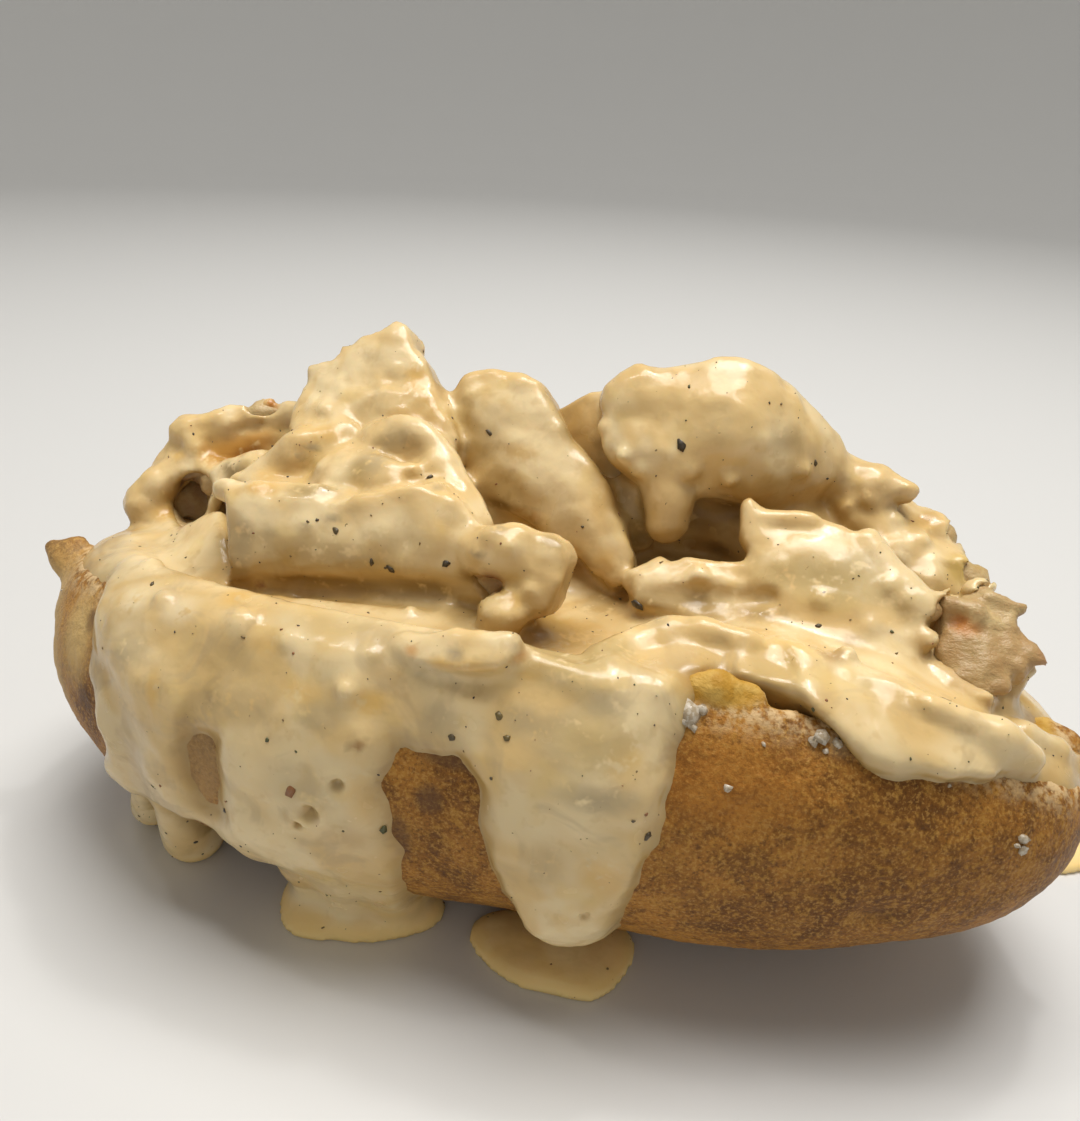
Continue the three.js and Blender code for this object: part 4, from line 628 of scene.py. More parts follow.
# spots begin
# a small palette, and the tints in the sauce: centre, half sizes, colour, strength. Besides the sauce's own marbling,
# many tints are painted shade in creases, hollows, undersides and on slopes in the heap's shade
GREY = (0.45, 0.35, 0.2)
DARK_GREY = (0.24, 0.19, 0.13)
GOLD = (0.72, 0.44, 0.12)
ORANGE = (0.62, 0.27, 0.06)
BROWN = (0.36, 0.2, 0.07)
OLIVE = (0.4, 0.27, 0.1)
PINK = (0.85, 0.42, 0.26)
DARK = (0.17, 0.095, 0.045)
TAN = (0.56, 0.36, 0.16)
AMBER = (0.58, 0.29, 0.055)
# painted shade for the pool and the slopes that lie in the heap's shade
PAINTED_SHADE = (0.56, 0.41, 0.18)
SPOTS = [
    # painted shade, amber, in the undercut of the flat chunk at the back left
    ((-52.1, 4.8, 50.3), (3.4, 4, 3.0), AMBER, 0.8),
    ((-49.5, 5.7, 50.3), (4.4, 5, 3.4), AMBER, 0.95),
    ((-47.0, 6.0, 51.4), (4, 5, 2.6), AMBER, 0.9),
    ((-45.2, 7.1, 52.5), (3, 4, 2), AMBER, 0.6),
    ((-46.8, -0.7, 50.2), (3, 4, 1.8), OLIVE, 0.7),
    ((-45.0, 10.2, 56.8), (1.8, 2.4, 1.4), ORANGE, 0.95),
    ((-45.9, 9.1, 55.8), (1.6, 2.4, 1.2), GOLD, 0.8),
    ((-35.6, -0.6, 58.0), (3, 3, 1.6), GOLD, 0.5),
    ((-31.4, -2.2, 58.0), (3, 3, 1.6), GOLD, 0.6),
    # painted shade, near black and brown, in the hollow of the small chunk at the left end
    ((-53.0, 1.4, 46.1), (3, 6, 2.8), DARK, 0.95),
    ((-56.7, 5.8, 40.7), (3, 6, 3.2), BROWN, 0.95),
    ((-51.9, -5.3, 43.7), (1.6, 3, 1.4), (0.3, 0.08, 0.03), 0.95),
    ((-57.8, -0.8, 42.3), (2.6, 3, 2.2), GOLD, 0.75),
    ((-57.3, 1.5, 45.0), (2, 3, 2.2), TAN, 0.6),
    ((-57.0, 3.7, 49.7), (1.4, 2, 1.2), GOLD, 0.7),
    ((-35.1, -14.0, 54.1), (3.4, 3, 1.1), GOLD, 0.85),
    ((-30.0, -14.0, 54.3), (3.6, 3, 1.0), OLIVE, 0.8),
    ((-27.1, -12.2, 54.7), (2.6, 3, 1.2), OLIVE, 0.7),
    ((-34.3, -4.1, 55.1), (1.8, 2, 0.7), GREY, 0.9),
    ((-32.5, -4.1, 56.3), (1.8, 2, 0.7), GREY, 0.9),
    # painted shade, grey and olive, in the dent of the middle chunk
    ((-23.0, -7.4, 57.6), (4.0, 5, 4.2), GREY, 0.65),
    ((-21.0, -4.1, 59.0), (4, 4, 2.6), GREY, 0.5),
    ((-24.8, -8.8, 55.8), (2.6, 3, 3.6), OLIVE, 0.6),
    ((-37.9, -6.0, 52.5), (3, 3, 2), GOLD, 0.5),
    # painted shade on the left end face of the front block and at its foot
    ((-36.4, -17.3, 47.6), (2.0, 3, 5), GREY, 0.6),
    ((-36.9, -18.4, 43.8), (2.4, 3, 2.2), OLIVE, 0.55),
    ((-32.9, -17.3, 49.7), (1.8, 2, 1.0), GREY, 0.5),
    ((-25.2, -15.0, 52.0), (1.4, 2, 0.7), DARK_GREY, 0.6),
    ((-28.3, -16.1, 51.0), (1.0, 2, 0.6), DARK_GREY, 0.45),
    ((-13.2, -11.4, 55.8), (1.2, 2, 0.8), DARK_GREY, 0.7),
    # painted shade on the lower face of the front block and along the crease under it
    ((-22.1, -18.4, 48.0), (6, 3, 2.4), GREY, 0.4),
    ((-29.3, -17.3, 43.6), (6, 3, 1.5), OLIVE, 0.7),
    ((-22.7, -17.3, 44.0), (8, 3, 1.6), OLIVE, 0.8),
    ((-13.6, -17.3, 44.8), (7, 3, 1.8), OLIVE, 0.85),
    ((-7.0, -18.4, 47.5), (3, 3, 2), OLIVE, 0.8),
    ((-34.4, -17.5, 42.5), (1.0, 2, 0.8), (0.34, 0.09, 0.03), 0.95),
    ((-21.4, 6.0, 64.6), (2.0, 4, 3.0), GOLD, 0.7),
    ((-18.5, 3.6, 62.1), (1.6, 4, 2.4), GOLD, 0.5),
    ((-3.8, -17.3, 54.0), (2, 2.4, 1.2), DARK_GREY, 0.5),
    ((-5.9, -18.4, 51.3), (1.6, 2, 1.0), DARK_GREY, 0.6),
    # painted shade, dark brown, in the cavity of the small front chunk
    ((-4.1, -19.5, 48.5), (2.4, 3, 1.6), (0.3, 0.12, 0.05), 0.9),
    ((-1.0, -20.9, 47.0), (1.6, 2, 1.2), GOLD, 0.5),
    # painted shade, olive and amber, under the long chunk in the middle
    ((-7.5, -0.8, 49.9), (3, 3, 1.2), OLIVE, 0.8),
    ((-3.1, -1.9, 49.5), (3.2, 3, 1.2), AMBER, 0.6),
    ((2.8, -17.4, 53.6), (3.0, 3, 1.6), OLIVE, 0.7),
    # painted shade in the hollow under the tip of the long chunk
    ((5.3, -6.2, 45.3), (2.4, 3, 1.8), OLIVE, 0.6),
    ((7.8, -6.3, 46.5), (2.4, 3, 2.6), GOLD, 0.6),
    ((6.1, -1.8, 52.8), (2, 3, 5), GOLD, 0.35),
    ((-5.5, 1.5, 56.9), (4, 3, 1.6), GOLD, 0.5),
    ((-2.7, 6.9, 63.5), (2, 3, 1.6), OLIVE, 0.5),
    ((0.8, 3.7, 60.0), (2.6, 3, 2.2), OLIVE, 0.6),
    ((9.1, 1.4, 51.9), (2, 3, 3), GREY, 0.45),
    ((11.7, 1.4, 46.3), (3, 3, 1.8), OLIVE, 0.75),
    # painted shade, dark brown, in the cavity under the tall chunk at the right
    ((19.4, 5.8, 48.4), (5, 4, 3.0), (0.3, 0.18, 0.06), 0.6),
    ((23.8, 5.8, 50.5), (4, 4, 2.6), (0.3, 0.18, 0.06), 0.75),
    ((22.6, 5.8, 44.3), (4, 4, 1.6), (0.3, 0.18, 0.06), 0.6),
    ((4.4, 9.2, 56.4), (1.6, 2.4, 1.4), OLIVE, 0.6),
    ((14.5, 4.8, 67.3), (4, 3, 1.4), GOLD, 0.25),
    ((20.0, 0.3, 64.6), (3, 3, 6), GREY, 0.25),
    ((29.2, 3.6, 61.9), (4, 4, 3), GREY, 0.35),
    # painted shade, olive, in the trough below the right chunk and in the low pool
    ((7.8, -8.2, 41.5), (4, 4, 3), OLIVE, 0.6),
    ((14.4, -12.5, 44.8), (5, 3, 1.6), OLIVE, 0.75),
    ((20.5, -11.7, 44.8), (6, 3, 1.6), OLIVE, 0.75),
    ((27.5, -13.8, 45.9), (5, 3, 1.4), OLIVE, 0.6),
    ((4.1, -17.6, 41.5), (8, 4, 2.6), OLIVE, 0.55),
    ((1.6, -30.7, 49.2), (4, 3, 2), OLIVE, 0.5),
    ((35.1, -21.7, 45.9), (3, 2.6, 1.4), BROWN, 0.7),
    ((38.0, -15.6, 44.8), (2, 2, 1), BROWN, 0.5),
    ((42.5, -21.4, 44.8), (2.6, 2, 0.9), PINK, 0.5),
    ((16.0, -20.6, 47.0), (2, 3, 1.4), GREY, 0.6),
    ((21.1, -29.3, 45.1), (3.6, 3, 1.5), AMBER, 0.4),
    ((28.0, -29.3, 44.2), (4, 3, 1.4), GREY, 0.8),
    ((32.0, -28.8, 42.6), (2, 2, 1), BROWN, 0.6),
    ((2.0, -32.4, 46.9), (1.6, 2, 1), ORANGE, 0.7),
    ((3.3, -32.7, 45.2), (2.4, 3, 1.1), GOLD, 0.7),
    ((-10.0, -33.3, 45.9), (1.4, 2, 1.1), ORANGE, 0.8),
    ((-6.0, -34.9, 45.5), (3, 3, 1.2), GOLD, 0.8),
    ((-2.2, -34.9, 46.1), (3, 3, 1.1), GOLD, 0.7),
    ((-4.7, -33.7, 46.6), (1.8, 2, 0.9), DARK_GREY, 0.6),
    ((7.4, -36.7, 40.7), (6, 4, 3.6), GREY, 0.6),
    ((12.2, -34.9, 44.1), (4, 4, 3), GREY, 0.4),
    ((12.4, -39.3, 35.3), (7, 4, 2.2), GREY, 0.85),
    ((14.4, -37.1, 39.1), (3, 3, 5), GOLD, 0.5),
    ((13.3, -40.3, 25.4), (4, 4, 4), GOLD, 0.6),
    ((7.3, -40.4, 25.4), (3, 3, 5), GREY, 0.4),
    ((3.0, -36.0, 41.3), (3, 3, 3), GREY, 0.5),
    ((-5.7, -36.0, 39.7), (4, 4, 2.6), GREY, 0.5),
    ((-14.3, -38.2, 35.9), (1.4, 2, 1.1), BROWN, 0.95),
    ((-19.1, -36.5, 38.2), (4, 3, 2.6), GREY, 0.6),
    ((-22.0, -34.9, 39.9), (3, 3, 2), GOLD, 0.5),
    ((-13.9, -34.9, 40.0), (3.2, 3, 2.2), GOLD, 0.65),
    ((-27.4, -31.5, 43.5), (4, 3, 2.2), GOLD, 0.5),
    ((-33.5, -26.1, 45.5), (2.6, 3, 2.2), GOLD, 0.7),
    ((-40.4, -34.8, 36.6), (1.4, 3, 5), GOLD, 0.6),
    ((-44.6, -31.5, 39.3), (4, 3, 2.4), GREY, 0.55),
    ((-28.7, -36.0, 38.1), (6, 4, 5), GREY, 0.4),
    ((-20.8, -39.2, 29.7), (6, 4, 5), GREY, 0.35),
    ((-13.7, -39.3, 29.8), (3, 3, 6), GOLD, 0.4),
    ((-15.8, -39.2, 23.5), (4, 3, 2.6), TAN, 0.4),
    ((-32.8, -34.9, 38.0), (2, 3, 4), OLIVE, 0.4),
    ((-39.5, -28.2, 43.7), (4, 3, 3), (0.86, 0.74, 0.5), 0.5),
    ((-46.6, -27.2, 43.4), (3, 3, 2.4), (0.86, 0.74, 0.5), 0.5),
    ((49.3, 8.9, 50.3), (4, 3, 2.2), GOLD, 0.6),
    ((53.4, 3.0, 47.0), (3.4, 4, 3.0), (0.6, 0.42, 0.12), 0.8),
    ((42.2, 7.0, 55.0), (4, 3, 1.5), BROWN, 0.45),
    ((45.9, 8.0, 53.2), (3, 3, 1.4), TAN, 0.6),
    ((46.0, 1.4, 48.1), (4, 3, 3), GREY, 0.4),
    ((48.6, -11.8, 48.0), (2.4, 3, 2.2), GREY, 0.5),
    ((51.2, -11.8, 47.9), (2.2, 2.4, 1.6), AMBER, 0.95),
    ((56.5, -8.7, 49.2), (2, 3, 1.2), (0.26, 0.11, 0.04), 0.95),
    ((57.0, -11.8, 47.0), (3, 4, 3), TAN, 0.9),
    ((59.3, -14.4, 44.8), (1.8, 3, 2.0), TAN, 0.9),
    ((54.8, -14.1, 45.9), (6, 5, 4.5), TAN, 0.95),
    ((51.8, -17.3, 44.2), (6, 5, 3.4), TAN, 0.8),
    ((50.3, -14.2, 45.9), (3, 4, 4), TAN, 0.7),
    ((56.8, -16.1, 42.7), (2.4, 3, 1.4), BROWN, 0.7),
    ((-25.5, -25.9, 45.9), (5, 3, 1.0), (0.62, 0.42, 0.17), 0.5),
    # painted shade on the pool, the slopes and the faces that lie in the heap's shade, and grey painted shade on the
    # left end face of the front block
    ((10.6, -37.0, 40.9), (7, 4, 5), PAINTED_SHADE, 0.8),
    ((35.3, -10.6, 49.7), (10, 6, 4.2), PAINTED_SHADE, 0.9),
    ((28.1, -10.7, 50.1), (6, 5, 3), PAINTED_SHADE, 0.5),
    ((7.2, -29.4, 45.9), (10, 7, 3.4), PAINTED_SHADE, 1.0),
    ((11.0, -26.9, 47.0), (5, 4, 3), PAINTED_SHADE, 0.7),
    ((-18.6, -29.3, 45.9), (10, 5, 3.0), PAINTED_SHADE, 0.45),
    ((-29.0, -17.2, 48.5), (10, 3, 3.6), PAINTED_SHADE, 0.55),
    ((-16.1, -17.3, 50.4), (8, 3, 3.6), PAINTED_SHADE, 0.4),
    ((-38.3, -17.3, 47.3), (2.4, 5, 6), GREY, 0.55),
    ((-44.7, -19.9, 44.8), (6, 5, 3), PAINTED_SHADE, 0.4),
    ((29.6, -25.6, 44.8), (7, 5, 3), PAINTED_SHADE, 0.35),
    ((43.9, -11.7, 48.9), (5, 5, 4), PAINTED_SHADE, 0.4),
    ((48.7, -11.3, 48.1), (3, 4, 3), AMBER, 0.5),
    ((11.4, 1.5, 49.2), (2, 4, 5), PAINTED_SHADE, 0.6),
    ((38.6, -8.5, 51.9), (4, 3, 2.4), GREY, 0.3),
    ((46.9, -15.0, 45.8), (3, 3, 3), TAN, 0.35),
    ((31.4, -7.3, 53.0), (5, 3, 2), (0.88, 0.72, 0.46), 0.4),
]
# spots end


# ------------------------------------------------------------------ meshes
def sample(f, P):
    q = (P - LO) / VOX
    q = np.clip(q, 0, N - 1.001)
    i = q.astype(int); t = (q - i)
    out = 0
    for dx in (0, 1):
        for dy in (0, 1):
            for dz in (0, 1):
                w = (t[:, 0] if dx else 1 - t[:, 0]) * (t[:, 1] if dy else 1 - t[:, 1]) * (t[:, 2] if dz else 1 - t[:, 2])
                out = out + w * f[i[:, 0] + dx, i[:, 1] + dy, i[:, 2] + dz]
    return out


def field_mesh(f):
    g = openvdb.FloatGrid(background=float(VOX * 4))
    g.copyFromArray(np.clip(f, -4 * VOX, 4 * VOX).astype(np.float64))
    p, q = g.convertToQuads(0.0)
    return np.array(p) * VOX + LO, np.array(q)


def to_object(name, P, Q, attrs, keep=None):
    me = bpy.data.meshes.new(name)
    C = ((P + SHIFT) * 0.001).astype(F32)
    nv, nq = len(C), len(Q); w = Q.shape[1]
    me.vertices.add(nv); me.vertices.foreach_set("co", C.ravel())
    me.loops.add(nq * w); me.loops.foreach_set("vertex_index", Q.astype(np.int32).ravel())
    me.polygons.add(nq); me.polygons.foreach_set("loop_start", np.arange(nq, dtype=np.int32) * w)
    me.update(); me.validate()
    me.polygons.foreach_set("use_smooth", np.ones(len(me.polygons), bool))
    for k, v in attrs.items():
        a = me.attributes.new(k, "FLOAT", "POINT"); a.data.foreach_set("value", np.asarray(v, F32))
    o = bpy.data.objects.new(name, me); bpy.context.collection.objects.link(o)
    return o


def normals(P, Q):
    a = P[Q[:, 2]] - P[Q[:, 0]]; b = P[Q[:, 3]] - P[Q[:, 1]]
    n = np.cross(a, b); out = np.zeros_like(P)
    for i in range(4):
        np.add.at(out, Q[:, i], n)
    return out / (np.linalg.norm(out, axis=1, keepdims=True) + 1e-9)


def largest_parts(P, Q, min_frac=0.002):
    """drops small loose islands"""
    n = len(P); lab = np.arange(n)
    for _ in range(400):
        m = lab[Q].min(1); new = lab.copy()
        for i in range(Q.shape[1]):
            np.minimum.at(new, Q[:, i], m)
        new = new[new]
        if (new == lab).all():
            break
        lab = new
    ids, cnt = np.unique(lab, return_counts=True)
    keep = np.isin(lab, ids[cnt >= max(60, min_frac * n)])
    idx = -np.ones(n, int); idx[keep] = np.arange(keep.sum())
    Q = Q[keep[Q].all(1)]
    return P[keep], idx[Q]


# potato
P, Q = field_mesh(POTATO)
P, Q = largest_parts(P, Q, 0.05)
Nn = normals(P, Q)
h = sample(HULL, P)
flesh = np.maximum(sstep(-0.35, -1.1, h), sstep(1.2, 0.8, np.sqrt(((P[:, 0] - 23) / 5.4) ** 2 + ((P[:, 1] + 28.8) / 2.6) ** 2 + ((P[:, 2] - 44.4) / 2.1) ** 2)))
rough = 0.10 * pnoise(P, 1.6, 71) + 0.05 * pnoise(P, 0.8, 72)
crumb = 0.35 * pnoise(P, 2.2, 73) + 0.22 * pnoise(P, 1.1, 74)
P = P + Nn * ((rough * (1 - flesh) + crumb * flesh) * (P[:, 2] > 0.4))[:, None]
rimness = np.exp(-((h + 0.5) / 0.9) ** 2) * sstep(-2.5, 0.5, P[:, 2] - rim_height(P[:, 0], P[:, 1]) + 1.0)
potato = to_object("potato_body", P, Q, {"flesh": flesh, "rimness": rimness})
log("potato mesh", len(P), len(Q))

# sauce
P, Q = field_mesh(SAUCE)
P, Q = largest_parts(P, Q, 0.01)
Nn = normals(P, Q)
hp = sample(POTATO, P); hm = sample(MEAT, P)
wet = sstep(0.2, 1.0, hp) * sstep(0.3, 1.0, P[:, 2])
rip = 0.07 * pnoise(P * [1, 1, 0.5], 2.2, 81) + 0.05 * pnoise(P, 1.2, 82)
P = P + Nn * (rip * wet)[:, None]
thin_skin = np.exp(-np.clip(hp, 0, 9) / 1.8)
thin_meat = np.exp(-np.clip(hm + 0.1, 0, 9) / 0.55)
low = sstep(3.2, 1.2, P[:, 2])
# how shut in each point is, for painted shade: the sauce colour is darkened in the creases
WHOLE = np.minimum(np.minimum(SAUCE, MEAT), POTATO)
painted_crease_shade = 0.0
for r in (5.0, 9.0):
    painted_crease_shade = painted_crease_shade + 0.5 * np.clip((r - sample(WHOLE, P + Nn * r)) / r, 0, 1)
painted_crease_shade = painted_crease_shade * (P[:, 2] > 6)
# the spot tints as vertex colours: the sauce's marbling and painted shade together
tint = np.zeros((len(P), 3)); amount = np.zeros(len(P))
for p, r, col, a in SPOTS:
    w = a * sstep(1.0, 0.2, np.sqrt((((P - np.array(p)) / np.array(r)) ** 2).sum(1)))
    tint = tint * (1 - w[:, None]) + np.array(col) * w[:, None]; amount = amount + (1 - amount) * w
sauce = to_object("cream_sauce", P, Q, {"thin_skin": thin_skin, "thin_meat": thin_meat, "low": low, "painted_crease_shade": painted_crease_shade, "tinted": amount})
ca = sauce.data.attributes.new("tint", "FLOAT_COLOR", "POINT")
ca.data.foreach_set("color", np.concatenate([tint / np.maximum(amount, 1e-4)[:, None], np.ones((len(P), 1))], 1).astype(F32).ravel())
log("sauce mesh", len(P), len(Q))

pieces = {"potato": potato, "sauce": sauce}
for name, f in chunks.items():
    P, Q = field_mesh(f)
    P, Q = largest_parts(P, Q, 0.2)
    Nn = normals(P, Q)
    ax = np.array([0.9, 0.3, 0.3])
    fib = pnoise(P * [0.28, 1, 1], 0.9, 91) * 0.16 + pnoise(P, 0.7, 92) * 0.07
    fib = fib * (1 - 0.6 * sample(bare, P)) + sample(bare, P) * (0.34 * pnoise(P, 1.9, 93) + 0.18 * pnoise(P, 0.95, 94))
    P = P + Nn * fib[:, None]
    o = to_object(name.replace("chicken", "chunk"), P, Q, {"brown": sample(bare, P)})
    pieces[name] = o
log("chunks")


# ------------------------------------------------------------------ materials
class Mat:
    def __init__(s, name):
        s.m = bpy.data.materials.new(name); s.m.use_nodes = True
        s.t = s.m.node_tree; s.b = s.t.nodes["Principled BSDF"]
        s.co = s.t.nodes.new("ShaderNodeTexCoord").outputs["Object"]

    def node(s, kind, **kw):
        n = s.t.nodes.new(kind)
        for k, v in kw.items():
            setattr(n, k, v)
        return n

    def link(s, a, b):
        s.t.links.new(a, b)

    def put(s, sock, v):
        if hasattr(v, "is_linked") or hasattr(v, "links"):
            s.link(v, sock)
        else:
            sock.default_value = v

    def noise(s, mm, detail=2.0, rough=0.5, dist=0.0, stretch=(1, 1, 1), off=0.0):
        mp = s.node("ShaderNodeMapping"); s.link(s.co, mp.inputs["Vector"])
        mp.inputs["Scale"].default_value = tuple(v * 1000.0 / mm for v in stretch)
        mp.inputs["Location"].default_value = (off, off * 1.7, off * 0.3)
        n = s.node("ShaderNodeTexNoise"); s.link(mp.outputs[0], n.inputs["Vector"])
        n.inputs["Scale"].default_value = 1.0; n.inputs["Detail"].default_value = detail
        n.inputs["Roughness"].default_value = rough; n.inputs["Distortion"].default_value = dist
        return n.outputs["Fac"]

    def voro(s, mm, feature="F1", rand=1.0, dist=None):
        mp = s.node("ShaderNodeMapping"); s.link(s.co, mp.inputs["Vector"])
        mp.inputs["Scale"].default_value = (1000.0 / mm,) * 3
        n = s.node("ShaderNodeTexVoronoi", feature=feature); n.inputs["Scale"].default_value = 1.0
        n.inputs["Randomness"].default_value = rand
        if dist is not None:
            a = s.node("ShaderNodeVectorMath", operation="ADD"); s.link(mp.outputs[0], a.inputs[0])
            c = s.node("ShaderNodeCombineXYZ"); s.link(dist, c.inputs[0]); s.link(dist, c.inputs[1]); s.link(dist, c.inputs[2])
            s.link(c.outputs[0], a.inputs[1]); s.link(a.outputs[0], n.inputs["Vector"])
        else:
            s.link(mp.outputs[0], n.inputs["Vector"])
        return n

    def math(s, op, a, b=None, clamp=False):
        n = s.node("ShaderNodeMath", operation=op, use_clamp=clamp)
        s.put(n.inputs[0], a)
        if b is not None:
            s.put(n.inputs[1], b)
        return n.outputs[0]

    def ramp(s, v, lo, hi, smooth=True):
        n = s.node("ShaderNodeMapRange"); n.interpolation_type = "SMOOTHSTEP" if smooth else "LINEAR"; n.clamp = True if not smooth else n.clamp
        s.put(n.inputs["Value"], v)
        n.inputs["From Min"].default_value = lo; n.inputs["From Max"].default_value = hi
        return n.outputs["Result"]

    def mix(s, fac, a, b):
        n = s.node("ShaderNodeMix", data_type="RGBA")
        s.put(n.inputs[0], fac)
        for sock, v in ((n.inputs[6], a), (n.inputs[7], b)):
            s.put(sock, (*v, 1.0) if isinstance(v, tuple) and len(v) == 3 else v)
        return n.outputs[2]

    def attr(s, name):
        n = s.node("ShaderNodeAttribute", attribute_name=name)
        return n.outputs["Fac"]

    def bump(s, parts):
        prev = None
        for hgt, mm in parts:
            n = s.node("ShaderNodeBump"); n.inputs["Strength"].default_value = 1.0
            n.inputs["Distance"].default_value = mm * 0.001
            s.link(hgt, n.inputs["Height"])
            if prev is not None:
                s.link(prev, n.inputs["Normal"])
            prev = n.outputs[0]
        s.link(prev, s.b.inputs["Normal"])

    def spot(s, c, r, soft=0.5):
        """soft ellipsoid round a point given in the working frame, 1 inside"""
        c = (np.array(c) + SHIFT) * 0.001
        a = s.node("ShaderNodeVectorMath", operation="SUBTRACT"); s.link(s.co, a.inputs[0]); a.inputs[1].default_value = tuple(c)
        d = s.node("ShaderNodeVectorMath", operation="DIVIDE"); s.link(a.outputs[0], d.inputs[0]); d.inputs[1].default_value = tuple(v * 0.001 for v in r)
        l = s.node("ShaderNodeVectorMath", operation="LENGTH"); s.link(d.outputs[0], l.inputs[0])
        return s.ramp(l.outputs["Value"], 1.0, soft)


def skin_material():
    m = Mat("potato_skin")
    big = m.noise(16, 2, 0.55); mid = m.noise(4.2, 3, 0.6, 0.4); fine = m.noise(0.75, 3, 0.65); dust = m.noise(0.42, 2, 0.6, off=3.1)
    c = m.mix(m.ramp(big, 0.36, 0.66), (0.26, 0.108, 0.019), (0.54, 0.250, 0.050))
    c = m.mix(m.math("MULTIPLY", m.ramp(mid, 0.46, 0.66), 0.6), c, (0.15, 0.062, 0.014))
    c = m.mix(m.math("MULTIPLY", m.ramp(mid, 0.50, 0.30), 0.4), c, (0.62, 0.33, 0.07))
    c = m.mix(m.math("MULTIPLY", m.ramp(fine, 0.50, 0.68), 0.65), c, (0.64, 0.36, 0.085))
    c = m.mix(m.math("MULTIPLY", m.ramp(fine, 0.46, 0.30), 0.55), c, (0.095, 0.038, 0.010))
    c = m.mix(m.math("MULTIPLY", m.ramp(dust, 0.52, 0.66), 0.55), c, (0.70, 0.42, 0.13))
    c = m.mix(m.math("MULTIPLY", m.ramp(dust, 0.45, 0.33), 0.45), c, (0.10, 0.042, 0.010))
    c = m.mix(m.math("MULTIPLY", m.spot((-34.8, -34.6, 27.3), (3.4, 4, 7.5), 0.6), 0.6), c, m.mix(fine, (0.42, 0.27, 0.13), (0.66, 0.50, 0.30)))
    # warmer patch under the bare rim, greyer left end, dark eyes
    c = m.mix(m.math("MULTIPLY", m.spot((25, -37, 37), (15, 12, 7), 0.2), 0.45), c, (0.52, 0.21, 0.035))
    c = m.mix(m.math("MULTIPLY", m.spot((-68, -12, 27), (14, 24, 16), 0.3), 0.9), c, m.mix(fine, (0.85, 0.56, 0.24), (1.0, 0.84, 0.50)))
    c = m.mix(m.math("MULTIPLY", m.spot((-57, -24, 35), (5, 9, 9), 0.2), 0.95), c, m.mix(fine, (0.72, 0.46, 0.18), (1.0, 0.80, 0.44)))
    for e, r in (((-64.5, -16.5, 29), (2.6, 3, 2.8)), ((-66.5, -15.5, 19.5), (2.2, 3, 3.6)), ((-4.5, -39.5, 19), (3.4, 3, 2.6)), ((44, -36.5, 22), (3.4, 3, 2)), ((-10.4, -37.8, 23.4), (2.6, 4, 5)), ((-6.5, -37.5, 29.8), (2.2, 4, 2.6)), ((-4, -36, 35), (5, 4, 1.6)), ((-54.7, -24.4, 37.8), (1.6, 2, 2.0)), ((-54.6, -28.1, 28.2), (2.2, 3, 2.6))):
        c = m.mix(m.math("MULTIPLY", m.spot(e, r, 0.4), 0.6), c, (0.13, 0.07, 0.045))
    dk = m.node("ShaderNodeMix", data_type="RGBA", blend_type="MULTIPLY"); dk.inputs[0].default_value = 1.0
    m.link(c, dk.inputs[6]); dk.inputs[7].default_value = (0.76, 0.70, 0.56, 1); c = dk.outputs[2]
    # flaky rim and opened flesh
    fl = m.noise(2.4, 2, 0.6); fc = m.mix(m.ramp(fl, 0.38, 0.66), (0.50, 0.265, 0.035), (0.63, 0.39, 0.09))
    c = m.mix(m.math("MULTIPLY", m.attr("rimness"), m.ramp(m.noise(1.3, 3, 0.6), 0.40, 0.60)), c, (0.70, 0.50, 0.26))
    c = m.mix(m.attr("flesh"), c, fc)
    m.link(c, m.b.inputs["Base Color"])
    r = m.math("ADD", m.math("MULTIPLY", fine, 0.35), 0.36)
    m.link(r, m.b.inputs["Roughness"])
    m.b.inputs["Specular IOR Level"].default_value = 0.22
    m.bump([(mid, 0.30), (fine, 0.22)])
    return m.m


